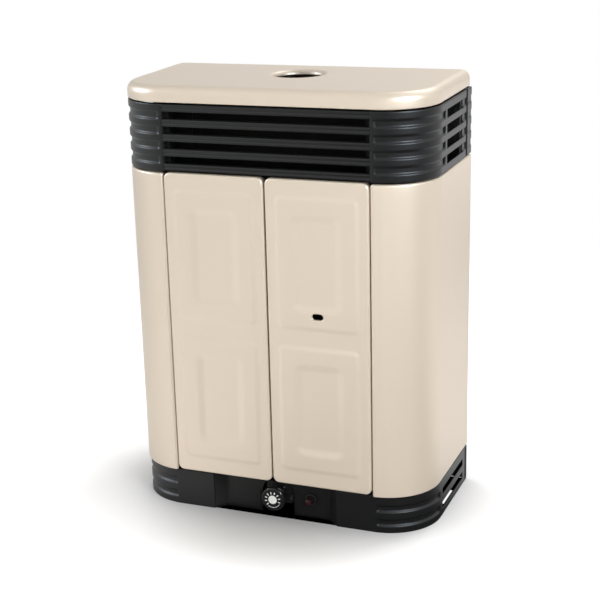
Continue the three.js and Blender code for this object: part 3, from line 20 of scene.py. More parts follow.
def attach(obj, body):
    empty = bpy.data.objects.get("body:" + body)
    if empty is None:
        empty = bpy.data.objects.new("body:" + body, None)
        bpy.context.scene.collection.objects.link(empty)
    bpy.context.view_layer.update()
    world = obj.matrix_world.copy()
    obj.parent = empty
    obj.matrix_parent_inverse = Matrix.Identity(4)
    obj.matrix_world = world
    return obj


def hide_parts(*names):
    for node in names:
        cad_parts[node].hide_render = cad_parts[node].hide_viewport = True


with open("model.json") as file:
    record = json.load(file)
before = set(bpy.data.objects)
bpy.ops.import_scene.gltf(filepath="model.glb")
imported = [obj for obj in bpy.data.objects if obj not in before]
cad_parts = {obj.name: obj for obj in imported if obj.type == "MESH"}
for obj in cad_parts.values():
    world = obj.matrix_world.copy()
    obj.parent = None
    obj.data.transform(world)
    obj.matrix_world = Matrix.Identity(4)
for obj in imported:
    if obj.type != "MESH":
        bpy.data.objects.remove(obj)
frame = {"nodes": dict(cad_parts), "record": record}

LOG = logging.getLogger("heater")
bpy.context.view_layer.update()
MILLIMETRE = 0.001
WELD = 0.001
SMOOTH_ANGLE = math.radians(38)
FORWARD = (0.0, -1.0, 0.0)
UPWARD = (0.0, 0.0, 1.0)
WHITE = (1.0, 1.0, 1.0, 1.0)
COOL = (0.82, 0.91, 1.0)
Array = np.ndarray


class Side(Enum):
    """The side of the case that a piece of a pair belongs to."""

    RIGHT = 1
    LEFT = -1

    @property
    def word(self) -> str:
        """The word that the piece's name starts with."""
        return self.name.lower()


class Pattern(Enum):
    """The surface pattern that a finish shows."""

    CLOUDS = "Clouds"
    SPANGLE = "Spangle"
    BRUSHED = "Brushed"


# Arrays of points


def smooth_step(value: Array, start: float, end: float) -> Array:
    """Rises softly from 0 to 1 between two values.

    Formula: with t the clipped share of the way, the result is 3t squared minus 2t cubed.

    Args:
        value: The numbers to judge.
        start: The value at which the result is 0.
        end: The value at which the result is 1.

    Returns:
        An array of the same shape, from 0 to 1.
    """
    t = np.clip((np.asarray(value, float) - start) / (end - start), 0, 1)
    return t * t * (3 - 2 * t)


def soft_band(value: Array, low: float, high: float, rise: float, fall: float) -> Array:
    """Is 1 between two values: a soft rise from the first times a soft fall to the second."""
    return smooth_step(value, low, low + rise) * (1 - smooth_step(value, high - fall, high))


def arc(x: float, y: float, radius: float, start: float, end: float, steps: int) -> Array:
    """Points on a circular arc: centre plus radius times the cosine and sine of each angle.

    Args:
        x: The centre's first coordinate.
        y: The centre's second coordinate.
        radius: The arc's radius.
        start: The first angle, in quarter turns.
        end: The last angle, in quarter turns.
        steps: How many steps the arc has.

    Returns:
        An array of steps + 1 rows and 2 columns.
    """
    angles = np.linspace(start, end, steps + 1) * (math.pi / 2)
    return np.stack([x + radius * np.cos(angles), y + radius * np.sin(angles)], axis=1)


def spaced(marks: Iterable[float], step: float) -> Array:
    """Values that pass through each mark, at most a step apart.

    Args:
        marks: The values that must be met, in rising or falling order.
        step: The largest distance between neighbours.

    Returns:
        The values, in the order of the marks.
    """
    marks = list(marks)
    parts = [
        np.linspace(a, b, max(1, math.ceil(abs(b - a) / step)) + 1)[:-1]
        for a, b in zip(marks, marks[1:])
    ]
    return np.concatenate(parts + [np.array([marks[-1]])])


def unit(vectors: Array) -> Array:
    """Vectors divided by their own lengths, along the last axis."""
    lengths = np.linalg.norm(vectors, axis=-1, keepdims=True)
    return vectors / np.maximum(lengths, 1e-12)


def rounded_distance(x: Array, z: Array, half_x: float, half_z: float, radius: float) -> Array:
    """How far inside a rounded rectangle about the origin each point lies.

    Formula: the radius minus the length of the part of the point that lies beyond the inner
    rectangle of the corner centres, less what the point lacks to reach that rectangle.

    Args:
        x: Distances along the width.
        z: Distances along the height.
        half_x: Half the width.
        half_z: Half the height.
        radius: The corners' radius.

    Returns:
        The depth inside the outline, negative outside it.
    """
    over_x = np.abs(x) - (half_x - radius)
    over_z = np.abs(z) - (half_z - radius)
    beyond = np.hypot(np.maximum(over_x, 0), np.maximum(over_z, 0))
    return radius - beyond - np.minimum(np.maximum(over_x, over_z), 0)


@dataclass
class Surface:
    """Grids of points in millimetres that are gathered into one welded mesh.

    Attributes:
        points: The points of each grid, as flat arrays.
        quads: The four corners of each face of each grid.
        total: The number of points so far.
    """

    points: list[Array] = field(default_factory=list)
    quads: list[Array] = field(default_factory=list)
    total: int = 0

    def grid(self, places: Array, closed: bool = False, keep: Optional[Array] = None) -> None:
        """Adds the quads of a grid of points.

        Args:
            places: Points in rows and columns, of shape (rows, columns, 3).
            closed: Whether the last column joins the first.
            keep: Which faces are kept, one flag for each face, or None for all.
        """
        rows, columns = places.shape[:2]
        index = self.total + np.arange(rows * columns).reshape(rows, columns)
        if closed:
            index = np.concatenate([index, index[:, :1]], axis=1)
        corners = [index[:-1, :-1], index[:-1, 1:], index[1:, 1:], index[1:, :-1]]
        quads = np.stack(corners, axis=-1)
        self.quads.append(quads.reshape(-1, 4) if keep is None else quads[keep])
        self.points.append(places.reshape(-1, 3))
        self.total += rows * columns

    def fan(self, ring: Array, middle: Array) -> None:
        """Closes a ring of points with faces that meet at a middle point.

        Args:
            ring: The ring's points, of shape (columns, 3).
            middle: The point where the faces meet.
        """
        self.grid(np.stack([ring, np.broadcast_to(middle, ring.shape)]), closed=True)

    def mirror(self) -> "Surface":
        """A copy of the surface on the other side of the plane x = 0."""
        flip = np.array([-1.0, 1.0, 1.0])
        return Surface([part * flip for part in self.points], list(self.quads), self.total)

    def bar(self, sections: Array) -> None:
        """Adds a body made of closed sections in order, with both its ends closed.

        Args:
            sections: Points of shape (sections, points of a section, 3).
        """
        self.grid(sections, closed=True)
        self.fan(sections[0], sections[0].mean(axis=0))
        self.fan(sections[-1], sections[-1].mean(axis=0))

    def build(self, name: str, inside: Optional[Iterable[float]] = None) -> bpy.types.Object:
        """Welds equal points, makes the mesh, and points its faces outwards.

        Formula: points are equal where they round to the same cell of the weld; an open
        sheet is turned round where the sum, over its faces, of the area times the normal's
        share along the way from the inner place is negative.

        Args:
            name: The new object's name.
            inside: For an open sheet, a point that most faces look away from.

        Returns:
            The new object, at the origin, shaded smooth with its sharp edges kept.
        """
        points = np.concatenate(self.points)
        keys = np.round(points / WELD).astype(np.int64)
        _, first, inverse = np.unique(keys, axis=0, return_index=True, return_inverse=True)
        quads = inverse.reshape(-1)[np.concatenate(self.quads)]
        same = quads == np.roll(quads, -1, axis=1)
        whole = quads[same.sum(axis=1) == 0]
        pinched = same.sum(axis=1) == 1
        corner = same[pinched].argmax(axis=1)[:, None]
        triangles = np.take_along_axis(quads[pinched], (corner + np.arange(1, 4)) % 4, axis=1)
        mesh = bpy.data.meshes.new(name)
        places = (points[first] * MILLIMETRE).tolist()
        mesh.from_pydata(places, [], whole.tolist() + triangles.tolist())
        mesh.validate()
        shell = bmesh.new()
        shell.from_mesh(mesh)
        bmesh.ops.recalc_face_normals(shell, faces=shell.faces[:])
        shell.to_mesh(mesh)
        shell.free()
        if inside is not None and self.facing(mesh, np.array(list(inside)) * MILLIMETRE) < 0:
            mesh.flip_normals()
        mesh.shade_smooth()
        mesh.set_sharp_from_angle(angle=SMOOTH_ANGLE)
        piece = bpy.data.objects.new(name, mesh)
        bpy.context.scene.collection.objects.link(piece)
        return piece

    @staticmethod
    def facing(mesh: bpy.types.Mesh, inside: Array) -> float:
        """How much of the mesh faces away from an inner place, by area."""
        count = len(mesh.polygons)
        normal, centre, area = np.empty(count * 3), np.empty(count * 3), np.empty(count)
        mesh.polygons.foreach_get("normal", normal)
        mesh.polygons.foreach_get("center", centre)
        mesh.polygons.foreach_get("area", area)
        away = centre.reshape(-1, 3) - inside
        return float(np.sum(np.sum(normal.reshape(-1, 3) * away, axis=1) * area))


def turned(
    profile: Array, origin: Array, axis: Array, steps: int, wave: Optional[Callable] = None,
) -> Array:
    """A profile turned about an axis.

    Formula: origin plus axis times the reach, plus radius times the cosine and sine of the
    turning angle along two directions square to the axis.

    Args:
        profile: Rows of radius and reach.
        origin: A point on the axis.
        axis: The direction of the axis.
        steps: How many columns the turn has.
        wave: Gives each row's factor on the radius from the angles, or None.

    Returns:
        A grid of points whose last column joins the first.
    """
    axis = unit(np.asarray(axis, float))
    across = unit(np.cross(axis, UPWARD if abs(axis[2]) < 0.9 else [1.0, 0.0, 0.0]))
    other = np.cross(axis, across)
    angles = np.linspace(0, 2 * math.pi, steps, endpoint=False)
    radius = profile[:, :1] * np.ones((1, steps))
    if wave is not None:
        radius = radius * wave(angles)
    ring = np.cos(angles)[:, None] * across + np.sin(angles)[:, None] * other
    return np.asarray(origin) + profile[:, 1:, None] * axis + radius[..., None] * ring


def spun(
    profile: Array, origin: Array, axis: Array, steps: int, wave: Optional[Callable] = None,
) -> Surface:
    """A surface that holds a profile turned about an axis, as turned() says."""
    surface = Surface()
    surface.grid(turned(profile, origin, axis, steps, wave), closed=True)
    return surface


def ribs(rows: Array, depth: float, count: int) -> Callable:
    """A wave of ribs for turned().

    Formula: 1 less the depth's share of the radius times half of 1 minus the cosine of the
    turning angle times the number of ribs, on the rows that have ribs.

    Args:
        rows: How much each row has of the ribs, from 0 to 1.
        depth: The ribs' depth as a share of the radius.
        count: How many ribs go round.

    Returns:
        The wave.
    """
    return lambda angles: 1 - depth * rows[:, None] * (0.5 - 0.5 * np.cos(angles * count))


def thicken(piece: bpy.types.Object, thickness: float) -> None:
    """Gives an open sheet its wall, inwards from the faces that show.

    Args:
        piece: The sheet.
        thickness: The wall, in millimetres.
    """
    wall = piece.modifiers.new("Sheet", "SOLIDIFY")
    wall.thickness = thickness * MILLIMETRE
    wall.offset = -1


def settle(piece: bpy.types.Object, body: str, finish: "Finish", *replaced: str) -> bpy.types.Object:
    """Gives a piece its finish, its body and the nodes that it stands for.

    Args:
        piece: The new piece.
        body: The CAD body that it moves with.
        finish: The finish that it takes.
        replaced: The CAD nodes that are no longer shown.

    Returns:
        The piece.
    """
    piece.data.materials.append(finish.material)
    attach(piece, body)
    if replaced:
        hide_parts(*replaced)
    LOG.info("%s: %d faces on %s", piece.name, len(piece.data.polygons), body)
    return piece


# Finishes


class Graph:
    """A node tree with short calls that add and join nodes.

    Attributes:
        tree: The tree that is filled.
    """

    def __init__(self, tree: bpy.types.NodeTree) -> None:
        """Takes the tree that is filled."""
        self.tree = tree

    @classmethod
    def fresh(cls, owner: bpy.types.ID) -> "Graph":
        """The emptied tree of a new material or world."""
        owner.use_nodes = True
        owner.node_tree.nodes.clear()
        return cls(owner.node_tree)

    def add(self, kind: str, inputs: Optional[dict] = None, **settings: object) -> bpy.types.Node:
        """Adds a node.

        Args:
            kind: The node's type name.
            inputs: For each input's name or place, a value or the output that feeds it.
            settings: The node's own settings.

        Returns:
            The node.
        """
        node = self.tree.nodes.new(kind)
        for key, value in settings.items():
            setattr(node, key, value)
        for key, value in (inputs or {}).items():
            if isinstance(value, bpy.types.NodeSocket):
                self.tree.links.new(value, node.inputs[key])
            else:
                node.inputs[key].default_value = value
        return node

    def math(self, operation: str, *values: object) -> bpy.types.NodeSocket:
        """The output of a Math node on up to three values or outputs."""
        return self.add("ShaderNodeMath", dict(enumerate(values)), operation=operation).outputs[0]

    def vector(self, operation: str, *values: object, out: str = "Vector") -> bpy.types.NodeSocket:
        """An output of a Vector Math node on one or two values or outputs."""
        inputs = dict(enumerate(values))
        return self.add("ShaderNodeVectorMath", inputs, operation=operation).outputs[out]

    def remap(
        self, value: object, start: float, end: float, low: float = 0.0, high: float = 1.0,
        soft: bool = False,
    ) -> bpy.types.NodeSocket:
        """A value's way from a start to an end, carried to low and high.

        Args:
            value: The value's output.
            start: The value that gives low.
            end: The value that gives high.
            low: The result at the start.
            high: The result at the end.
            soft: Whether the way is a soft step instead of a line.

        Returns:
            The result, kept between low and high.
        """
        inputs = {"Value": value, "From Min": start, "From Max": end, "To Min": low, "To Max": high}
        kind = "SMOOTHSTEP" if soft else "LINEAR"
        return self.add("ShaderNodeMapRange", inputs, interpolation_type=kind).outputs[0]

    def effect(self, tree: bpy.types.NodeTree, place: object, scale: float) -> object:
        """The outputs of a shared effect, at a place and a scale."""
        return self.add("ShaderNodeGroup", {"Place": place, "Scale": scale}, node_tree=tree).outputs

    def bump(
        self, height: object, depth: float, below: Optional[object] = None,
    ) -> bpy.types.NodeSocket:
        """A normal bent by a height.

        Args:
            height: The height's output, from 0 to 1.
            depth: The relief's depth, in millimetres.
            below: The normal of the relief below it, or None.

        Returns:
            The normal.
        """
        inputs = {"Height": height, "Distance": depth * MILLIMETRE, "Strength": 1.0}
        if below is not None:
            inputs["Normal"] = below
        return self.add("ShaderNodeBump", inputs).outputs[0]

    def blend(self, share: object, first: object, second: object) -> bpy.types.NodeSocket:
        """A colour between two colours."""
        node = self.add("ShaderNodeMix", {0: share, 6: first, 7: second}, data_type="RGBA")
        return node.outputs[2]

    def noise(self, vector: object, scale: object, detail: float = 2.0) -> bpy.types.NodeSocket:
        """The value of a noise texture."""
        inputs = {"Vector": vector, "Scale": scale, "Detail": detail}
        return self.add("ShaderNodeTexNoise", inputs).outputs["Fac"]

    def stretch(self, vector: object, amounts: tuple) -> bpy.types.NodeSocket:
        """A vector scaled along each axis."""
        return self.add("ShaderNodeMapping", {"Vector": vector, "Scale": amounts}).outputs[0]


class Effects:
    """The surface effects that several finishes share, each a node group built once."""

    def __init__(self) -> None:
        """Builds the groups."""
        makers = {
            Pattern.CLOUDS: self.clouds, Pattern.SPANGLE: self.spangle, Pattern.BRUSHED: self.brushed,
        }
        self.groups = {pattern: self.group(pattern.value, make) for pattern, make in makers.items()}
        self.peel = self.group("Orange peel", self.orange_peel)

    @staticmethod
    def group(name: str, make: Callable) -> bpy.types.NodeTree:
        """A group that takes a place and a scale and gives a mask and a height.

        Args:
            name: The group's name.
            make: Gives the mask and the height from the graph, the place and the scale.

        Returns:
            The group's tree.
        """
        tree = bpy.data.node_groups.new(name, "ShaderNodeTree")
        tree.interface.new_socket("Place", in_out="INPUT", socket_type="NodeSocketVector")
        for socket, way in (("Scale", "INPUT"), ("Mask", "OUTPUT"), ("Height", "OUTPUT")):
            tree.interface.new_socket(socket, in_out=way, socket_type="NodeSocketFloat")
        graph = Graph(tree)
        given = graph.add("NodeGroupInput").outputs
        mask, height = make(graph, given["Place"], given["Scale"])
        graph.add("NodeGroupOutput", {"Mask": mask, "Height": height})
        return tree

    @staticmethod
    def clouds(graph: Graph, place: object, scale: object) -> tuple:
        """Soft patches with a fine grain: coarse noise for the mask, fine noise for the height."""
        mask = graph.remap(graph.noise(place, scale, 4.0), 0.3, 0.7)
        return mask, graph.noise(place, graph.math("MULTIPLY", scale, 12.0), 3.0)

    @staticmethod
    def spangle(graph: Graph, place: object, scale: object) -> tuple:
        """The crystals of a zinc coating: each cell of a cell pattern has its own shade."""
        inputs = {"Vector": place, "Scale": scale, "Detail": 2.0}
        warp = graph.add("ShaderNodeTexNoise", inputs).outputs["Color"]
        bent = graph.vector("ADD", place, graph.vector("MULTIPLY", warp, (0.012,) * 3))
        cells = graph.add("ShaderNodeTexVoronoi", {"Vector": bent, "Scale": scale})
        shade = graph.add("ShaderNodeSeparateColor", {"Color": cells.outputs["Color"]}).outputs
        return shade[0], shade[1]

    @staticmethod
    def brushed(graph: Graph, place: object, scale: object) -> tuple:
        """Fine lines along the height: noise whose place is squeezed along Z."""
        lines = graph.noise(graph.stretch(place, (14.0, 14.0, 0.6)), scale, 3.0)
        return lines, lines

    @staticmethod
    def orange_peel(graph: Graph, place: object, scale: object) -> tuple:
        """The slow waves of a fired or sprayed coat: two scales of smooth noise, added."""
        wide = graph.noise(place, scale, 0.0)
        narrow = graph.noise(place, graph.math("MULTIPLY", scale, 5.0), 1.0)
        return wide, graph.math("MULTIPLY_ADD", narrow, 0.12, wide)


EFFECTS = Effects()


@dataclass(frozen=True)
class Finish:
    """A painted, plated or bare finish and the material that shows it.

    Attributes:
        name: The material's name.
        slot: The record's material slot.
        colour: The main colour, linear.
        second: The colour where the mask is 1, linear.
        pattern: The pattern of the mask and of the height.
        scale: The pattern's scale, in cells per metre.
        roughness: The roughness where the mask is 0 and where it is 1.
        metallic: How metallic the finish is.
        bump: The depth of the pattern's relief, in millimetres.
        peel: The depth of the coat's waves, in millimetres.
        peel_scale: The scale of the coat's waves.
        coat: The weight of the clear coat.
        coat_roughness: The clear coat's roughness.
        gloss: The specular level.
        clear: How much light passes through.
    """

    name: str
    slot: str
    colour: tuple
    second: tuple
    pattern: Pattern = Pattern.CLOUDS
    scale: float = 40.0
    roughness: tuple = (0.3, 0.4)
    metallic: float = 0.0
    bump: float = 0.0
    peel: float = 0.0
    peel_scale: float = 60.0
    coat: float = 0.0
    coat_roughness: float = 0.04
    gloss: float = 0.5
    clear: float = 0.0

    @property
    def material(self) -> bpy.types.Material:
        """The material, made when it is first asked for."""
        return bpy.data.materials.get(self.name) or self.make()

    def make(self) -> bpy.types.Material:
        """Makes the material.

        Returns:
            The new material.
        """
        material = bpy.data.materials.new(self.name)
        graph = Graph.fresh(material)
        place = graph.add("ShaderNodeTexCoord").outputs["Object"]
        effect = graph.effect(EFFECTS.groups[self.pattern], place, self.scale)
        mask = effect["Mask"]
        inputs = {
            "Base Color": graph.blend(mask, (*self.colour, 1), (*self.second, 1)),
            "Roughness": graph.remap(mask, 0.0, 1.0, *self.roughness),
            "Metallic": self.metallic,
            "Coat Weight": self.coat,
            "Coat Roughness": self.coat_roughness,
            "Specular IOR Level": self.gloss,
            "Transmission Weight": self.clear,
        }
        if self.bump:
            inputs["Normal"] = graph.bump(effect["Height"], self.bump)
        if self.peel:
            waves = graph.effect(EFFECTS.peel, place, self.peel_scale)
            inputs["Normal"] = graph.bump(waves["Height"], self.peel, inputs.get("Normal"))
        shader = graph.add("ShaderNodeBsdfPrincipled", inputs)
        graph.add("ShaderNodeOutputMaterial", {"Surface": shader.outputs[0]})
        return material


CREAM = Finish(
    "cream_enamel", "cream_enamel", (0.74, 0.61, 0.49), (0.72, 0.59, 0.47), scale=7.0,
    roughness=(0.045, 0.06), peel=0.05, peel_scale=45.0,
)
BLACK = Finish(
    "black_enamel", "black_enamel", (0.005, 0.0045, 0.005), (0.007, 0.006, 0.0065), scale=30.0,
    roughness=(0.02, 0.03), peel=0.02, peel_scale=70.0,
)
DULL_BLACK = Finish(
    "dull_black_enamel", "black_enamel", (0.004, 0.004, 0.004), (0.007, 0.0065, 0.006), scale=25.0,
    roughness=(0.6, 0.75), bump=0.01, gloss=0.15,
)
GALVANISED = Finish(
    "galvanised_sheet", "galvanised_sheet", (0.42, 0.44, 0.45), (0.56, 0.58, 0.6), Pattern.SPANGLE,
    scale=70.0, roughness=(0.32, 0.48), metallic=1.0, bump=0.01,
)
ZINC = Finish(
    "zinc_plated_steel", "zinc_steel", (0.58, 0.59, 0.58), (0.5, 0.52, 0.5), Pattern.BRUSHED,
    scale=90.0, roughness=(0.22, 0.34), metallic=1.0, bump=0.01,
)
DARK_STEEL = Finish(
    "heat_darkened_steel", "dark_steel", (0.035, 0.032, 0.03), (0.09, 0.075, 0.065), scale=14.0,
    roughness=(0.5, 0.72), metallic=0.6, bump=0.03,
)
ALUMINISED = Finish(
    "aluminised_steel", "aluminised_steel", (0.5, 0.5, 0.5), (0.42, 0.41, 0.4), scale=22.0,
    roughness=(0.34, 0.5), metallic=1.0, bump=0.02,
)
GLASS = Finish(
    "sight_glass", "sight_glass", (0.8, 0.76, 0.68), (0.74, 0.7, 0.62), scale=30.0,
    roughness=(0.04, 0.08), clear=0.9,
)
BRASS = Finish(
    "polished_brass", "brass", (0.62, 0.42, 0.16), (0.54, 0.35, 0.13), Pattern.BRUSHED, scale=60.0,
    roughness=(0.24, 0.36), metallic=1.0, bump=0.01,
)
COPPER = Finish(
    "drawn_copper", "copper", (0.62, 0.28, 0.15), (0.42, 0.18, 0.1), scale=35.0,
    roughness=(0.26, 0.42), metallic=1.0, bump=0.01,
)
CERAMIC = Finish(
    "glazed_ceramic", "ceramic", (0.78, 0.76, 0.7), (0.72, 0.69, 0.62), scale=90.0,
    roughness=(0.2, 0.3), bump=0.01, coat=0.4,
)
ALLOY = Finish(
    "die_cast_alloy", "alloy", (0.46, 0.47, 0.48), (0.56, 0.57, 0.58), scale=60.0,
    roughness=(0.36, 0.5), metallic=1.0, bump=0.06,
)
BLACK_PLASTIC = Finish(
    "black_plastic", "black_plastic", (0.011, 0.011, 0.012), (0.015, 0.015, 0.016), scale=120.0,
    roughness=(0.32, 0.42), bump=0.02, gloss=0.4,
)
RED_PLASTIC = Finish(
    "dark_red_plastic", "red_plastic", (0.032, 0.008, 0.008), (0.026, 0.007, 0.007), scale=120.0,
    roughness=(0.28, 0.38), bump=0.02,
)
LEAD_SLEEVE = Finish(
    "silicone_sleeve", "lead_sleeve", (0.19, 0.04, 0.025), (0.16, 0.032, 0.02), scale=80.0,
    roughness=(0.5, 0.6), bump=0.02,
)
DIAL_WHITE = Finish(
    "dial_white", "black_plastic", (0.72, 0.72, 0.7), (0.66, 0.66, 0.64), scale=150.0,
    roughness=(0.4, 0.5), bump=0.01,
)


# The case


@dataclass(frozen=True)
class CaseSizes:
    """The planes and places that the case's pieces share."""

    rear: float = 178.0
    side: float = 350.0
    top: float = 959.0
    casing_back: float = -156.0
    casing_rear: float = 173.9
    flue_y: float = 47.0

    @property
    def middle(self) -> tuple:
        """A place well inside the case, which the outer faces look away from."""
        return (0.0, 0.0, self.top / 2)


CASE = CaseSizes()


def pressed(
    surface: Surface, side: Side, name: str, wall: float, finish: Finish, replaced: str = "",
    inside: tuple = CASE.middle,
) -> bpy.types.Object:
    """Makes one of a pair of walled sheets from the surface of the right one.

    Args:
        surface: The sheet's surface on the right side.
        side: The side that the piece belongs to.
        name: What follows the side's word in the piece's name.
        wall: The sheet's thickness.
        finish: The finish that it takes.
        replaced: What follows the side's word in the name of the node that it stands for, if any.
        inside: The place that its faces look away from.

    Returns:
        The piece.
    """
    piece = (surface.mirror() if side is Side.LEFT else surface).build(f"{side.word}_{name}", inside)
    thicken(piece, wall)
    return settle(piece, "case", finish, *([f"{side.word}_{replaced}"] if replaced else []))


@dataclass(frozen=True)
class Plan:
    """The line that a wrapped sheet follows: along the front, round a corner, along the side.

    Attributes:
        start: The distance from the middle at which the sheet starts on the front.
        side: The distance of the side from the middle.
        front: The plane of the front.
        rear: The place where the sheet ends on the side.
        radius: The corner's radius.
    """

    start: float
    side: float
    front: float
    rear: float
    radius: float

    def trace(self, side_marks: Iterable[float], step: float, turns: int) -> tuple:
        """Places and inward directions along the line, with its length so far.

        Formula: straight lines in even steps, and between them the corner's centre plus its
        radius along each turning angle; the way inwards is the line's left-hand normal.

        Args:
            side_marks: Places along the depth that the line must meet on the side.
            step: The largest step on the straight parts.
            turns: How many steps the corner has.

        Returns:
            The places, the inward directions, and the length along the line.
        """
        centre_x, centre_y = self.side - self.radius, self.front + self.radius
        parts, inward = [], []
        if self.start < centre_x:
            x = spaced([self.start, centre_x], step)[:-1]
            parts.append(np.stack([x, np.full_like(x, self.front)], axis=1))
            inward.append(np.tile([0.0, 1.0], (len(x), 1)))
        lead = max(self.start - centre_x, 0.0) / self.radius
        bend = arc(0, 0, 1, math.asin(lead) / (math.pi / 2) - 1, 0, turns)
        parts.append(np.array([centre_x, centre_y]) + self.radius * bend)
        inward.append(-bend)
        y = spaced([centre_y, *side_marks, self.rear], step)[1:]
        parts.append(np.stack([np.full_like(y, self.side), y], axis=1))
        inward.append(np.tile([-1.0, 0.0], (len(y), 1)))
        places = np.concatenate(parts)
        lengths = np.linalg.norm(np.diff(places, axis=0), axis=1)
        return places, np.concatenate(inward), np.concatenate([[0.0], np.cumsum(lengths)])


def outline(
    side: float, front: float, rear: float, radius: float, rear_radius: float, inset: Array,
) -> Array:
    """The closed plan of the case for each inset: square at the rear, round at the front.

    Formula: four arcs about fixed corner centres, whose radii shrink by the inset.

    Args:
        side: Half the width.
        front: The front plane.
        rear: The rear plane.
        radius: The front corners' radius.
        rear_radius: The rear corners' radius.
        inset: How far each row is drawn in.

    Returns:
        A grid of places, with a row for each inset and a column for each point.
    """
    near, far = front + radius, rear - rear_radius
    corners = [
        (side - radius, near, radius, 40), (side - rear_radius, far, rear_radius, 10),
        (rear_radius - side, far, rear_radius, 10), (radius - side, near, radius, 40),
    ]
    turns = []
    for quarter, (x, y, corner, steps) in enumerate(corners):
        spokes = arc(0, 0, 1, quarter - 1, quarter, steps)
        turns.append(np.array([x, y]) + (corner - inset)[:, None, None] * spokes)
    filled = []
    for turn, after, count in zip(turns, turns[1:] + turns[:1], (24, 30, 24, 40)):
        share = np.linspace(0, 1, count + 1)[1:-1][None, :, None]
        filled += [turn, turn[:, -1:] * (1 - share) + after[:, :1] * share]
    return np.concatenate(filled, axis=1)


def lifted(plan: Array, heights: Array) -> Array:
    """A grid of plan places with its rows' heights added as the third coordinate."""
    z = np.broadcast_to(np.asarray(heights, float)[:, None, None], plan.shape[:2] + (1,))
    return np.concatenate([plan, z], axis=2)


@dataclass
class Cover:
    """The enamelled cover: a pressed dish with a rolled edge and a flared flue hole."""

    side: float = 349.0
    front: float = -172.0
    bottom: float = 924.4
    corner: float = 112.0
    rear_corner: float = 21.0
    edge: float = 19.0
    foot: float = 3.0
    lip: float = 5.5
    skin: float = 1.2
    rim: float = 65.0
    hole: float = 55.0
    roll: float = 11.0
    top_rows: int = 28
    crowding: float = 0.35

    def build(self) -> bpy.types.Object:
        """Makes the cover as one sheet from the lip, round the edge, to the flue hole.

        Formula: rows of the plan drawn in along quarter circles for the foot and the edge;
        then rows that pass evenly from the plan to the circle of the flue's rim; then the
        rim's circle drawn in along a quarter ellipse down into the hole.

        Returns:
            The cover.
        """
        foot = arc(0, 0, self.foot, 3, 2, 5)
        edge = arc(0, 0, self.edge, 0, 1, 10)
        inset = np.concatenate([[self.lip], self.foot + foot[:, 0], self.edge - edge[:, 0]])
        height = np.concatenate([
            [self.bottom], self.bottom + self.foot + foot[:, 1], CASE.top - self.edge + edge[:, 1],
        ])
        skirt = lifted(
            outline(self.side, self.front, CASE.rear, self.corner, self.rear_corner, inset), height,
        )
        surface = Surface()
        surface.grid(skirt, closed=True)
        brim = skirt[-1, :, :2]
        centre = np.array([0.0, CASE.flue_y])
        spoke = unit(brim - centre)
        circle = centre + self.rim * spoke
        share = smooth_step(np.linspace(0, 1, self.top_rows), -self.crowding, 1 + self.crowding)
        share = ((share - share[0]) / (share[-1] - share[0]))[:, None, None]
        top = lifted(brim * (1 - share) + circle * share, np.full(self.top_rows, CASE.top))
        surface.grid(top, closed=True)
        fall = arc(0, 0, 1, 1, 2, 12)
        radius = self.rim + (self.rim - self.hole) * fall[:, 0]
        drop = CASE.top - self.roll * (1 - fall[:, 1])
        throat = centre + radius[:, None, None] * spoke
        surface.grid(lifted(throat, drop), closed=True)
        piece = surface.build("cover", CASE.middle)
        thicken(piece, self.skin)
        return settle(piece, "case", CREAM, "top_cover")


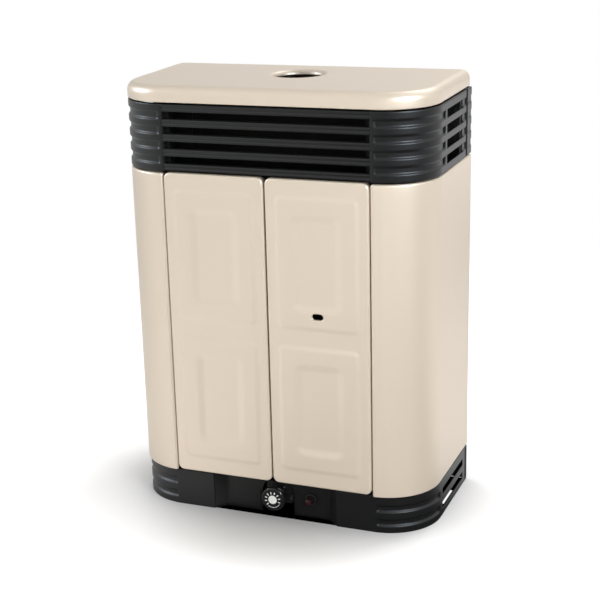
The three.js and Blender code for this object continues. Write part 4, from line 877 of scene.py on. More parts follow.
@dataclass
class FrontPanel:
    """A pressed front panel: two raised fields with sunken centres, and a returned edge."""

    side: Side
    inner: float = 1.7
    outer: float = 229.9
    bottom: float = 89.8
    top: float = 776.0
    face: float = -175.5
    corner: float = 14.0
    edge: float = 5.0
    skin: float = 1.2
    field_half: float = 93.5
    field_corner: float = 16.0
    field_rise: float = 2.5
    field_bevel: float = 11.0
    fields: tuple = ((124.0, 416.5), (450.5, 743.0))
    centre_half: float = 59.0
    centre_inset: float = 37.0
    centre_corner: float = 24.0
    centre_sink: float = 3.5
    centre_bevel: float = 22.0
    slot_x: float = 115.5
    slot_z: float = 484.0
    slot_width: float = 25.0
    slot_height: float = 13.0
    slot_lip: float = 2.5
    slot_gap: tuple = (22.0, 15.0)
    step: float = 2.4

    def relief(self, x: Array, z: Array) -> Array:
        """How far the sheet stands out of its face.

        Formula: for each field, the rise times a soft step of the depth inside the field's
        outline, less the sink times a soft step of the depth inside the centre's outline.

        Args:
            x: Distances from the middle of the panel.
            z: Heights.

        Returns:
            The rise at each point.
        """
        rise = np.zeros_like(x)
        for low, high in self.fields:
            half, middle = (high - low) / 2, (high + low) / 2
            inside = rounded_distance(x, z - middle, self.field_half, half, self.field_corner)
            rise += self.field_rise * smooth_step(inside, -1.0, self.field_bevel)
            inside = rounded_distance(
                x, z - middle, self.centre_half, half - self.centre_inset, self.centre_corner,
            )
            rise -= self.centre_sink * smooth_step(inside, 0.0, self.centre_bevel)
        return rise

    def rounded(self, x: Array, z: Array, half_x: float, half_z: float, radius: float) -> tuple:
        """Bends a rectangular grid into a rounded rectangle.

        Formula: in each corner square, with a and b from 0 to 1, the point goes to a times the
        root of 1 minus half of b squared, and likewise for b, which maps the square to a
        quarter disc.

        Args:
            x: Distances along the width, from the middle.
            z: Distances along the height, from the middle.
            half_x: Half the width.
            half_z: Half the height.
            radius: The corners' radius.

        Returns:
            The bent distances.
        """
        a = np.clip((np.abs(x) - (half_x - radius)) / radius, 0, 1)
        b = np.clip((np.abs(z) - (half_z - radius)) / radius, 0, 1)
        bent_x = np.where(a * b > 0, half_x - radius + radius * a * np.sqrt(1 - b * b / 2), np.abs(x))
        bent_z = np.where(a * b > 0, half_z - radius + radius * b * np.sqrt(1 - a * a / 2), np.abs(z))
        return np.sign(x) * bent_x, np.sign(z) * bent_z

    def slot_patch(self, surface: Surface, frame_ring: Array) -> None:
        """Fills the gap round the sight slot, with a lip that rolls in.

        Formula: rows that pass evenly from the ring of grid points round the gap to the
        slot's outline, two half circles and two lines, then the outline drawn in along a
        quarter circle and carried back through the sheet.

        Args:
            surface: The panel's surface.
            frame_ring: The closed ring of points round the gap.
        """
        middle = np.array([self.slot_x, self.slot_z])
        half = self.slot_height / 2
        reach = self.slot_width / 2 - half
        way = unit(frame_ring[:, [0, 2]] - middle)
        along = np.clip(way[:, :1] * (reach + half) * 1.2, -reach, reach)
        centre = np.concatenate([along, np.zeros_like(along)], axis=1)
        spoke = unit(way * (reach + half) * 1.6 - centre)
        lip = arc(0, 0, self.slot_lip, 1, 2, 6)
        rows = [frame_ring]
        mouth = middle + centre + spoke * (half + self.slot_lip)
        for share in (0.35, 0.7, 1.0):
            place = frame_ring[:, [0, 2]] * (1 - share) + mouth * share
            rows.append(self.on_face(place[:, 0], place[:, 1]))
        for across, up in lip[1:]:
            place = middle + centre + spoke * (half + self.slot_lip + across)
            row = self.on_face(place[:, 0], place[:, 1])
            row[:, 1] += self.slot_lip - up
            rows.append(row)
        back = rows[-1].copy()
        back[:, 1] += self.slot_lip
        rows.append(back)
        surface.grid(np.stack(rows), closed=True)

    def on_face(self, x: Array, z: Array) -> Array:
        """Points of the pressed face above places of the panel's plane."""
        middle = (self.inner + self.outer) / 2
        return np.stack([x, self.face - self.relief(x - middle, z), z], axis=-1)

    def build(self) -> bpy.types.Object:
        """Makes the panel from its relief, its rounded edge and its returned flange.

        Formula: a grid in the panel's plane, bent into a rounded rectangle, whose depth is
        the face less the relief; then the outline carried outwards along a quarter circle
        and straight back to the casing.

        Returns:
            The panel.
        """
        half_x, half_z = (self.outer - self.inner) / 2, (self.top - self.bottom) / 2
        middle_x, middle_z = (self.outer + self.inner) / 2, (self.top + self.bottom) / 2
        radius = self.corner - self.edge
        flat_x, flat_z = half_x - self.edge, half_z - self.edge
        gap_x, gap_z = self.slot_gap
        slot_x, slot_z = self.slot_x - middle_x, self.slot_z - middle_z
        x, z = (
            spaced([-flat, radius - flat, slot - gap, slot + gap, flat - radius, flat], self.step)
            for flat, slot, gap in ((flat_x, slot_x, gap_x), (flat_z, slot_z, gap_z))
        )
        grid_x, grid_z = np.meshgrid(x, z)
        bent_x, bent_z = self.rounded(grid_x, grid_z, flat_x, flat_z, radius)
        face = self.on_face(bent_x + middle_x, bent_z + middle_z)
        surface = Surface()
        keep = None
        if self.side is Side.RIGHT:
            mid_x, mid_z = (x[1:] + x[:-1]) / 2, (z[1:] + z[:-1]) / 2
            in_x = np.abs(mid_x - slot_x) < gap_x
            in_z = np.abs(mid_z - slot_z) < gap_z
            keep = ~(in_z[:, None] & in_x[None, :])
            columns = np.flatnonzero(np.abs(x - slot_x) <= gap_x + WELD)
            rows = np.flatnonzero(np.abs(z - slot_z) <= gap_z + WELD)
            hole = face[rows[0]:rows[-1] + 1, columns[0]:columns[-1] + 1]
            self.slot_patch(surface, self.ring(hole))
        surface.grid(face, keep=keep)
        brim = self.ring(face)
        outward = self.ring(np.stack([bent_x, bent_z], axis=-1))
        core = np.clip(outward, [radius - flat_x, radius - flat_z], [flat_x - radius, flat_z - radius])
        way = unit(outward - core)
        turn = arc(0, 0, self.edge, 1, 0, 8)
        rows = [brim]
        for across, up in turn[1:]:
            row = brim.copy()
            row[:, [0, 2]] += way * across
            row[:, 1] = self.face + self.edge - up
            rows.append(row)
        last = rows[-1].copy()
        last[:, 1] = CASE.casing_back
        rows.append(last)
        surface.grid(np.stack(rows), closed=True)
        return pressed(surface, self.side, "panel", self.skin, CREAM, "front_panel")

    @staticmethod
    def ring(grid: Array) -> Array:
        """The border of a grid as one closed ring, in order."""
        return np.concatenate([grid[0, :-1], grid[:-1, -1], grid[-1, :0:-1], grid[:0:-1, 0]])


@dataclass
class SidePanel:
    """A pressed side panel that turns the front corner, with rounded, returned edges."""

    side: Side
    start: float = 232.1
    face: float = -175.5
    bottom: float = 87.0
    top: float = 774.2
    corner: float = 119.0
    edge: float = 5.0
    low_edge: float = 3.0
    seam_edge: float = 6.0
    row_step: float = 24.0
    skin: float = 1.2

    def build(self) -> bpy.types.Object:
        """Makes the panel.

        Formula: each row is the plan, from the seam's returned edge round a quarter circle,
        along the front, round the corner and along the side; its rows are drawn in along
        quarter circles at the top and the bottom, and then straight in for the returns.

        Returns:
            The panel.
        """
        low, high = arc(0, 0, self.low_edge, 3, 2, 7), arc(0, 0, self.edge, 2, 1, 7)
        returned = CASE.casing_back - self.face
        inset = np.concatenate([
            [returned], self.low_edge + low[:, 0], self.edge + high[:, 0], [returned],
        ])
        heights = np.concatenate([
            [self.bottom], self.bottom + self.low_edge + low[:, 1],
            self.top - self.edge + high[:, 1], [self.top],
        ])
        cut = 1 + len(low)
        middle = spaced(heights[cut - 1:cut + 1], self.row_step)[1:-1]
        inset = np.concatenate([inset[:cut], np.zeros(len(middle)), inset[cut:]])
        heights = np.concatenate([heights[:cut], middle, heights[cut:]])
        pull = np.minimum(inset, self.seam_edge)[:, None]
        seam = arc(0, 0, 1, 2, 3, 8)
        reach = (self.seam_edge - pull)[..., None]
        near = np.array([self.start + self.seam_edge, self.face + self.seam_edge]) + reach * seam
        near[..., 1] += (inset[:, None] - pull) * np.linspace(0, 1, len(seam))
        back = near[:, :1].copy()
        back[..., 1] = CASE.casing_back
        plan = Plan(self.start + self.seam_edge, CASE.side, self.face, CASE.casing_rear, self.corner)
        places, inward, _ = plan.trace([], 12.0, 44)
        wrap = places[1:] + inset[:, None, None] * inward[1:]
        surface = Surface()
        surface.grid(lifted(np.concatenate([back, near, wrap], axis=1), heights))
        return pressed(surface, self.side, "side", self.skin, CREAM, "side_panel")


def wrapped(
    plan: Plan, side_marks: Iterable[float], heights: Array, inset: Array, sink: Callable,
    gaps: Callable, seam_round: float,
) -> Surface:
    """A pressed sheet that follows the front, turns the right corner and runs to the rear.

    Formula: each point is the plan's place plus the inward direction times the row's inset
    and the pressed depth at that length and height; the start is returned to the casing's
    back round a small quarter circle.

    Args:
        plan: The line that the sheet follows, from the end of its start's round.
        side_marks: Places along the depth that the grid must meet.
        heights: The rows' heights.
        inset: How far each row is drawn in.
        sink: The pressed depth, from lengths, heights, and places along the depth.
        gaps: Which faces are windows, from their places along the depth and their heights.
        seam_round: The radius of the start's edge.

    Returns:
        The surface of the sheet.
    """
    places, inward, length = plan.trace(side_marks, 3.2, 60)
    push = inset[:, None] + sink(length[None, :], heights[:, None], places[None, :, 1])
    wrap = places + push[..., None] * inward
    seam = seam_round * arc(0, 0, 1, 2, 3, 5)
    near = np.array([plan.start, plan.front + seam_round]) + seam + inset[:, None, None] * [0.0, 1.0]
    back = near[:, :1].copy()
    back[..., 1] = CASE.casing_back
    sheet = np.concatenate([back, near[:, :-1], wrap], axis=1)
    turned_in = sheet[:, :1 + near.shape[1], 1]
    turned_in[:] = np.minimum(turned_in, CASE.casing_back)
    grid = lifted(sheet, heights)
    centre = (grid[1:, 1:] + grid[:-1, :-1]) / 2
    surface = Surface()
    surface.grid(grid, keep=~gaps(centre[..., 1], centre[..., 2]))
    return surface


def rolled(bottom: float, top: float, low: float, high: float, returned: float, levels: Array) -> tuple:
    """Rows of a sheet with rolled ends: their heights and how far each is drawn in.

    Formula: a quarter circle at each end that has a radius, then the straight return.

    Args:
        bottom: The lowest height.
        top: The highest height.
        low: The lower edge's radius, or zero for a plain edge.
        high: The upper edge's radius.
        returned: How far the returned edges reach inwards.
        levels: The heights between the two edges.

    Returns:
        The heights and the insets.
    """
    heights, inset = [levels], [np.zeros(len(levels))]
    if low:
        turn = arc(0, 0, low, 3, 2, 4)
        heights.insert(0, np.concatenate([[bottom], bottom + low + turn[:-1, 1]]))
        inset.insert(0, np.concatenate([[returned], low + turn[:-1, 0]]))
    turn = arc(0, 0, high, 2, 1, 4)
    heights.append(np.concatenate([top - high + turn[1:, 1], [top]]))
    inset.append(np.concatenate([high + turn[1:, 0], [returned]]))
    return np.concatenate(heights), np.concatenate(inset)


@dataclass
class UpperGrille:
    """The black grille under the cover: five slats, and two corners with pressed valleys."""

    bottom: float = 778.0
    corner_bottom: float = 776.4
    top: float = 921.0
    face: float = -168.0
    radius: float = 110.0
    start: float = 231.0
    window_low: float = 793.8
    window_height: float = 15.0
    pitch: float = 31.7
    count: int = 4
    slat_round: float = 4.0
    slat_gap: float = 0.3
    slat_groove: float = 1.5
    groove_half: float = 4.2
    upright: tuple = (229.0, 240.7)
    upright_back: float = 2.3
    valley_start: float = 5.0
    valley_rise: float = 4.5
    valley_depth: float = 3.5
    valley_flat: float = 4.4
    valley_mouth: float = 10.2
    valley_end: float = -42.0
    slit: float = 5.0
    window_y: tuple = (-24.0, 108.0)
    window_drop: float = 2.0
    groove: tuple = (128.0, 141.0)
    groove_depth: float = 6.0
    rear_share: float = 0.35
    returned: float = 12.0
    edge: float = 2.0
    seam: float = 1.5
    skin: float = 1.2

    def middles(self) -> Array:
        """The heights of the windows' middles."""
        return self.window_low + self.window_height / 2 + self.pitch * np.arange(self.count)

    def sink(self, length: Array, height: Array, y: Array) -> Array:
        """The pressed depth: valleys at the windows' heights, and an upright rear groove.

        Formula: the depth times a soft band about each window's middle, times soft bands
        along the length, flatter behind the groove; the groove is a soft band along the depth;
        the deeper one counts.

        Args:
            length: Lengths along the sheet.
            height: Heights.
            y: Places along the depth.

        Returns:
            The depth at each point.
        """
        along = smooth_step(length, self.valley_start, self.valley_start + self.valley_rise)
        along = np.where(y > self.valley_end + self.slit, 0.0, along)
        front_band = soft_band(y, self.window_y[0], self.groove[0] + 3, 2.0, 3.0)
        rear_band = self.rear_share * smooth_step(y, self.groove[1], self.groove[1] + 2.0)
        along = np.maximum(along, np.maximum(front_band, rear_band))
        off = np.abs(height[..., None] - self.middles())
        across = (1 - smooth_step(off, self.valley_flat, self.valley_mouth)).max(axis=-1)
        groove = soft_band(y, *self.groove, 2.0, 2.0)
        inner = soft_band(height, self.corner_bottom, self.top, 0.5, 0.5)
        return np.maximum(self.valley_depth * along * across, self.groove_depth * groove * inner)

    def gaps(self, y: Array, z: Array) -> Array:
        """The side windows, which reach lower than the front's, and a slit at each valley's end."""
        off = np.abs(z[..., None] - self.middles()).min(axis=-1)
        sunk = np.abs(z[..., None] + self.window_drop / 2 - self.middles()).min(axis=-1)
        tall = sunk < (self.window_height + self.window_drop) / 2
        window = (y > self.window_y[0]) & (y < self.window_y[1]) & tall
        slit = (y > self.valley_end) & (y < self.valley_end + self.slit)
        return window | slit & (off < self.window_height / 2 - 1)

    def corner(self, side: Side) -> bpy.types.Object:
        """Makes one corner and side of the grille."""
        half = self.window_height / 2
        marks = [self.corner_bottom + self.edge]
        for middle in self.middles():
            low = middle - half
            marks += [low - self.window_drop, low, low + 1, middle + half - 1, middle + half]
        levels = spaced([*marks, self.top - self.edge], 1.5)
        heights, inset = rolled(
            self.corner_bottom, self.top, self.edge, self.edge, self.returned, levels[1:-1],
        )
        window, groove = self.window_y, self.groove
        side_marks = [
            self.valley_end, self.valley_end + self.slit, window[0], window[0] + 2, window[1],
            groove[0], groove[0] + 2, groove[1] - 2, groove[1], groove[1] + 2,
        ]
        plan = Plan(self.start + self.seam, CASE.side, self.face, CASE.casing_rear, self.radius)
        surface = wrapped(plan, side_marks, heights, inset, self.sink, self.gaps, self.seam)
        return pressed(surface, side, "grille", self.skin, BLACK, "upper_grille")

    def front(self) -> bpy.types.Object:
        """Makes the slats and the uprights behind their ends.

        Formula: a closed section carried along X, whose front is a quarter circle at each edge
        and, between them, a soft groove along the slat's middle.
        """
        surface = Surface()
        edges = [self.bottom]
        for middle in self.middles():
            edges += [middle - self.window_height / 2, middle + self.window_height / 2]
        edges.append(self.top)
        reach, r = self.start - self.slat_gap, self.slat_round
        for low, high in zip(edges[::2], edges[1::2]):
            lower = arc(self.face + r, low + r, r, 3, 2, 8)
            upper = arc(self.face + r, high - r, r, 2, 1, 8)
            rise = spaced([low + r, high - r], 0.7)[1:-1]
            off = np.abs(rise - (low + high) / 2)
            sunk = self.face + self.slat_groove * (1 - smooth_step(off, 0.4, self.groove_half))
            back = np.array([[CASE.casing_back, high], [CASE.casing_back, low]])
            section = np.concatenate([lower, np.stack([sunk, rise], axis=1), upper, back])
            surface.bar(self.across(section, -reach, reach))
        inner, outer = self.upright
        near, back = self.face + self.upright_back, CASE.casing_back
        corners = [[near, self.bottom], [near, self.top], [back, self.top], [back, self.bottom]]
        section = np.array(corners)
        for x in ((inner, outer), (-outer, -inner)):
            surface.bar(self.across(section, *x))
        piece = surface.build("grille_slats")
        return settle(piece, "case", BLACK, "upper_grille_front")

    @staticmethod
    def across(section: Array, start: float, end: float) -> Array:
        """A section in the YZ plane, placed at two distances along X."""
        columns = (np.full((len(section), 1), x) for x in (start, end))
        return np.stack([np.concatenate([column, section], axis=1) for column in columns])

    def build(self) -> None:
        """Makes the grille's three pieces."""
        self.front()
        for side in Side:
            self.corner(side)


@dataclass
class Plinth:
    """The plinth's two wrapped halves and the recessed panel between them."""

    height: float = 86.5
    start: float = 146.0
    side: float = 349.5
    face: float = -166.0
    radius: float = 118.0
    middles: tuple = (23.0, 56.0)
    window_height: float = 16.5
    valley_x: float = 237.0
    valley_rise: float = 5.0
    valley_depth: float = 5.0
    valley_flat: float = 4.4
    valley_mouth: float = 9.2
    valley_end: float = -52.0
    window_y: tuple = (-34.0, 136.0)
    groove: tuple = (157.0, 172.0)
    groove_depth: float = 5.0
    edge: float = 3.0
    seam: float = 2.0
    skin: float = 1.4
    returned: float = 12.0
    floor: float = -143.0
    floor_half: float = 122.5
    lap: float = 161.0
    lap_gap: float = 2.3
    lap_height: float = 84.6
    arch: float = 38.0
    arch_z: float = 47.0
    bend: float = 6.0
    panel_rows: int = 8

    def sink(self, length: Array, height: Array, y: Array) -> Array:
        """The pressed depth of the valleys and of the upright rear groove.

        Formula: the depth times a soft band about each valley's middle, times a soft rise
        where the valley starts and a soft end before the windows; the groove is a soft band
        along the depth; the deeper one counts.
        """
        centre_x = self.side - self.radius
        begin = centre_x - self.start - self.seam + self.radius * math.asin(
            (self.valley_x - centre_x) / self.radius
        )
        along = smooth_step(length, begin, begin + self.valley_rise)
        along = along * (1 - smooth_step(y, self.valley_end - 4.0, self.valley_end))
        off = np.abs(height[..., None] - np.array(self.middles))
        across = (1 - smooth_step(off, self.valley_flat, self.valley_mouth)).max(axis=-1)
        groove = soft_band(y, *self.groove, 2.0, 2.0)
        inner = soft_band(height, 4.0, self.height - 4.0, 2.0, 2.0)
        return np.maximum(self.valley_depth * along * across, self.groove_depth * groove * inner)

    def gaps(self, y: Array, z: Array) -> Array:
        """The side windows."""
        off = np.abs(z[..., None] - np.array(self.middles)).min(axis=-1)
        return (y > self.window_y[0]) & (y < self.window_y[1]) & (off < self.window_height / 2)

    def half(self, side: Side) -> bpy.types.Object:
        """Makes one half: front skirt, corner and side."""
        half = self.window_height / 2
        marks = [0.0]
        for middle in self.middles:
            marks += [middle - half, middle + half]
        levels = spaced([*marks, self.height - self.edge], 1.6)
        heights, inset = rolled(0.0, self.height, 0.0, self.edge, self.returned, levels[:-1])
        low, high = self.window_y
        side_marks = [self.face + self.radius + 2, low - 4, low, high, high + 5]
        plan = Plan(self.start + self.seam, self.side, self.face, CASE.casing_rear, self.radius)
        surface = wrapped(plan, side_marks, heights, inset, self.sink, self.gaps, self.seam)
        return pressed(surface, side, "plinth_sheet", self.skin, BLACK, "plinth")

    def panel(self) -> bpy.types.Object:
        """Makes the recessed panel with its four bends and its arch.

        Formula: the plan is a line with its corners cut by quadratic curves; a column's
        points rise in even shares from its lower edge to the top; between the arch's feet
        the lower edge is the arch's centre height plus the root of its radius squared less
        the distance squared, and the part below is left open.

        Returns:
            The panel.
        """
        front = self.face + self.lap_gap
        right = np.array([
            [self.lap, front], [self.start, front], [self.floor_half, self.floor], [0.0, self.floor],
        ])
        way = unit(np.diff(right, axis=0))
        share = np.linspace(0, 1, 7)[:, None]
        bends = [
            (1 - share) ** 2 * (right[k] - self.bend * way[k - 1]) + 2 * share * (1 - share) * right[k]
            + share ** 2 * (right[k] + self.bend * way[k]) for k in (1, 2)
        ]
        turn = self.arch * np.sin(np.linspace(1, 0, 17) * math.pi / 2)
        flat = np.concatenate([spaced([self.floor_half - 2 * self.bend, self.arch], 8.0)[:-1], turn])
        middle = np.stack([flat, np.full_like(flat, self.floor)], axis=1)
        line = np.concatenate([right[:1], *bends, middle])
        line = np.concatenate([line, (line * [-1.0, 1.0])[-2::-1]])
        x = np.abs(line[:, 0])
        inside = x <= self.arch + WELD
        rise = np.sqrt(np.maximum(self.arch ** 2 - x ** 2, 0))
        low = self.arch_z + np.where(inside, rise, 0.0)
        high = np.where(x >= self.start - 1, self.lap_height, self.height)
        shares = np.linspace(0, 1, self.panel_rows + 1)[:, None]
        lower = shares[:-1] * self.arch_z * np.ones_like(x)
        upper = low + shares * (high - low)
        z = np.concatenate([lower, upper])
        grid = np.concatenate([np.broadcast_to(line, z.shape + (2,)), z[..., None]], axis=2)
        under = inside[1:] & inside[:-1]
        keep = ~((np.arange(len(z) - 1) < self.panel_rows)[:, None] & under[None, :])
        surface = Surface()
        surface.grid(grid, keep=keep)
        piece = surface.build("recess_panel", (0.0, 100.0, 44.0))
        thicken(piece, self.skin)
        return settle(piece, "case", BLACK, "control_panel")

    def build(self) -> None:
        """Makes the plinth's three pieces."""
        for side in Side:
            self.half(side)
        self.panel()


# The controls and the small parts


@dataclass
class Knob:
    """The control knob with its dial: fine grips, a white centre, nine ticks and an arc."""

    z: float = 47.0
    radius: float = 28.0
    neck: float = 12.8
    neck_back: float = 156.0
    back: float = 170.0
    front: float = 177.4
    edge: float = 3.0
    draft: float = 0.8
    dish: float = 0.5
    grips: int = 36
    grip_depth: float = 0.25
    disc: float = 10.0
    disc_front: float = 177.9
    tick_reach: tuple = (13.2, 18.6)
    tick_width: float = 2.3
    tick_turn: float = 30.0
    tick_middle: float = 103.0
    tick_count: int = 9
    arc_radius: float = 18.4
    arc_width: float = 0.9
    arc_span: tuple = (236.0, 330.0)
    print_rise: float = 0.25
    print_root: float = 1.2

    def body(self) -> bpy.types.Object:
        """Makes the black knob.

        Formula: a profile turned about the knob's axis, whose side's radius is multiplied by
        1 plus the grip's share times the cosine of the turning angle times their number.

        Returns:
            The knob.
        """
        top = self.radius - self.draft
        edge = arc(top - self.edge, self.front - self.edge, self.edge, 0, 1, 8)
        dish = np.linspace(1, 0, 7)[1:]
        inner = top - self.edge - 2.0
        face = np.stack([inner * dish, self.front - self.dish * (1 - dish ** 4)], axis=1)
        back = np.array([
            [0.0, self.neck_back], [self.neck - 0.5, self.neck_back], [self.neck, self.neck_back + 0.5],
            [self.neck, self.back - 0.8], [self.neck + 0.8, self.back], [self.radius - 0.8, self.back],
            [self.radius, self.back + 0.6],
        ])
        rise = np.linspace(self.back + 1, self.front - self.edge - 0.4, 6)
        side = np.stack([np.linspace(self.radius, top, 6), rise], axis=1)
        profile = np.concatenate([back, side, edge, face])
        reach = profile[:, 1]
        grip = soft_band(reach, self.back + 0.4, self.front - self.edge + 0.5, 0.8, 1.5)
        grip = grip * (profile[:, 0] > top - self.edge)
        wave = ribs(grip, self.grip_depth / self.radius, self.grips)
        surface = spun(profile, (0.0, 0.0, self.z), FORWARD, self.grips * 8, wave)
        return settle(surface.build("knob_body"), "knob", BLACK_PLASTIC, "control_knob")

    def polar(self, radius: Array, angle: Array, height: Array) -> Array:
        """Points of the dial: its centre plus radius times the cosine and sine of the angle."""
        turn = np.radians(angle)
        x, z = radius * np.cos(turn), self.z + radius * np.sin(turn)
        return np.stack([x, -height + 0 * turn, z], axis=-1)

    def dial(self) -> bpy.types.Object:
        """Makes the white centre, the ticks and the arc.

        Formula: each mark is a four-cornered section, two heights at two radii, carried
        along the angles that it spans; the centre is a turned disc with a rounded edge.

        Returns:
            The dial's marks.
        """
        low, high = self.front - self.print_root, self.front + self.print_rise
        edge = arc(self.disc - 0.5, self.disc_front - 0.5, 0.5, 0, 1, 4)
        disc = np.concatenate([[[0.0, low], [self.disc, low]], edge, [[0.0, self.disc_front]]])
        surface = spun(disc, (0.0, 0.0, self.z), FORWARD, 64)
        corners = np.array([0, 1, 1, 0])
        levels = np.array([low, low, high, high])
        middle = (self.tick_count - 1) / 2
        marks = []
        for number in range(self.tick_count):
            angle = self.tick_middle + self.tick_turn * (middle - number)
            half = math.degrees(self.tick_width / 2 / self.tick_reach[1])
            marks.append((self.tick_reach, (angle - half, angle + half), 3))
        width = self.arc_width / 2
        marks.append(((self.arc_radius - width, self.arc_radius + width), self.arc_span, 24))
        for reach, span, steps in marks:
            angles = np.linspace(*span, steps + 1)[:, None] + 0 * corners
            radii = np.array(reach)[corners][None, :] + 0 * angles
            surface.bar(self.polar(radii, angles, levels[None, :]))
        return settle(surface.build("knob_dial"), "knob", DIAL_WHITE)

    def build(self) -> None:
        """Makes the knob's two pieces."""
        self.body()
        self.dial()


@dataclass
class Igniter:
    """The igniter's knurled ring nut and its domed push button."""

    x: float = 80.0
    z: float = 46.5
    nut_radius: float = 14.4
    nut_hole: float = 6.8
    nut_reach: tuple = (143.3, 149.3)
    nut_edge: float = 1.2
    ribs: int = 30
    rib_depth: float = 0.35
    button_radius: float = 6.1
    button_reach: tuple = (141.4, 167.9)
    dome: float = 1.6

    def build(self) -> None:
        """Makes the nut and the button.

        Formula: the nut is a closed ring section, whose outer radius is multiplied by 1 less
        a rib's share; the button's end is a shallow part of an ellipse.
        """
        near, far = self.nut_reach
        outer = arc(self.nut_radius - self.nut_edge, far - self.nut_edge, self.nut_edge, 0, 1, 5)
        inner = arc(self.nut_hole + 0.6, far - 0.6, 0.6, 1, 2, 4)
        ring = np.concatenate([
            [[self.nut_hole, near], [self.nut_radius - 0.4, near], [self.nut_radius, near + 0.4]],
            outer, inner, [[self.nut_hole, near]],
        ])
        origin = (self.x, 0.0, self.z)
        ribbed = ring[:, 0] > self.nut_radius - self.nut_edge / 2
        wave = ribs(ribbed, self.rib_depth / self.nut_radius, self.ribs)
        nut = spun(ring, origin, FORWARD, self.ribs * 8, wave).build("ring_nut")
        settle(nut, "case", BLACK_PLASTIC, "igniter_nut")
        start, end = self.button_reach
        bow = np.linspace(0, 1, 9)
        cap = np.stack([
            self.button_radius * np.cos(bow * math.pi / 2) ** 0.6,
            end - self.dome + self.dome * np.sin(bow * math.pi / 2),
        ], axis=1)
        cap[-1, 0] = 0.0
        radius = self.button_radius
        profile = np.concatenate([[[0.0, start], [radius - 0.4, start], [radius, start + 0.4]], cap])
        button = spun(profile, origin, FORWARD, 48).build("push_button")
        settle(button, "button", RED_PLASTIC, "igniter_button")


@dataclass
class ValveFront:
    """The black front cover of the gas valve, with two small screws and a bare metal tab."""

    x: float = 31.6
    bottom: float = 22.4
    top: float = 71.6
    z: float = 47.0
    corner: float = 5.0
    face: float = 133.0
    back: float = 130.4
    nose: float = 136.6
    nose_radius: float = 15.0
    bore: float = 10.0
    skin: float = 1.2
    screws: tuple = ((12.0, 59.5, True), (26.0, 59.0, False))
    screw_radius: float = 2.1
    screw_rise: float = 1.4
    tab: tuple = ((30.6, 46.0), (22.4, 30.0), (31.4, 32.0))
    tab_rise: float = 0.6

    def plate(self) -> bpy.types.Object:
        """Makes the cover.

        Formula: rings about the spindle's axis, the inner ones circles that step back from
        the nose to the face, the outer ones passing evenly to a rounded rectangle whose edge
        is carried back to the valve.

        Returns:
            The cover.
        """
        half_z = (self.top - self.bottom) / 2
        spokes = arc(0, 0, 1, 0, 4, 96)[:-1]
        core = np.array([self.x - self.corner, half_z - self.corner])
        reach = np.abs(spokes) * math.hypot(self.x, half_z) * 1.4
        brim = np.sign(spokes) * np.minimum(reach, core)
        brim = brim + self.corner * unit(np.sign(spokes) * np.maximum(reach - core, 0.0) + 1e-9)
        bore, nose, rim, face = self.bore, self.nose, self.nose_radius, self.face
        circles = (
            (bore, nose - 2), (bore, nose - 0.5), (bore + 0.5, nose), (rim - 1, nose),
            (rim, nose - 1), (rim, face),
        )
        passing = ((0.5, face), (0.97, face), (1.0, face - 0.8), (1.0, self.back))
        rows = [(radius * spokes, depth) for radius, depth in circles]
        rows += [(rim * spokes * (1 - share) + brim * share, depth) for share, depth in passing]
        rings = np.stack([
            np.stack([row[:, 0], np.full(len(row), -depth), row[:, 1] + self.z], axis=1)
            for row, depth in rows
        ])
        surface = Surface()
        surface.grid(rings, closed=True)
        piece = surface.build("valve_cover", (0.0, -100.0, self.z))
        thicken(piece, self.skin)
        return settle(piece, "case", BLACK_PLASTIC)

    def build(self) -> None:
        """Makes the cover, its screws and the tab.

        Formula: a screw's head is a turned half ellipse; the tab is a triangle carried
        forwards from the cover's face.
        """
        self.plate()
        bow = np.linspace(0, 1, 8) * math.pi / 2
        dome = np.stack([self.screw_radius * np.cos(bow), self.screw_rise * np.sin(bow)], axis=1)
        dome[-1, 0] = 0.0
        profile = np.concatenate([[[0.0, -0.6], [self.screw_radius, -0.6]], dome])
        for number, (x, z, bright) in enumerate(self.screws, 1):
            screw = spun(profile, (x, -self.face, z), FORWARD, 40).build(f"valve_cover_screw_{number}")
            settle(screw, "case", ZINC if bright else BLACK_PLASTIC)
        corners = np.array(self.tab)
        sections = np.stack([
            np.stack([corners[:, 0], np.full(3, -depth), corners[:, 1]], axis=1)
            for depth in (self.face - 0.4, self.face + self.tab_rise)
        ])
        surface = Surface()
        surface.bar(sections)
        settle(surface.build("valve_tab"), "case", ALLOY)


@dataclass(frozen=True)
class Screw:
    """A cross-recessed screw: which node it stands for, its place and its way out."""

    node: str
    place: tuple
    out: tuple


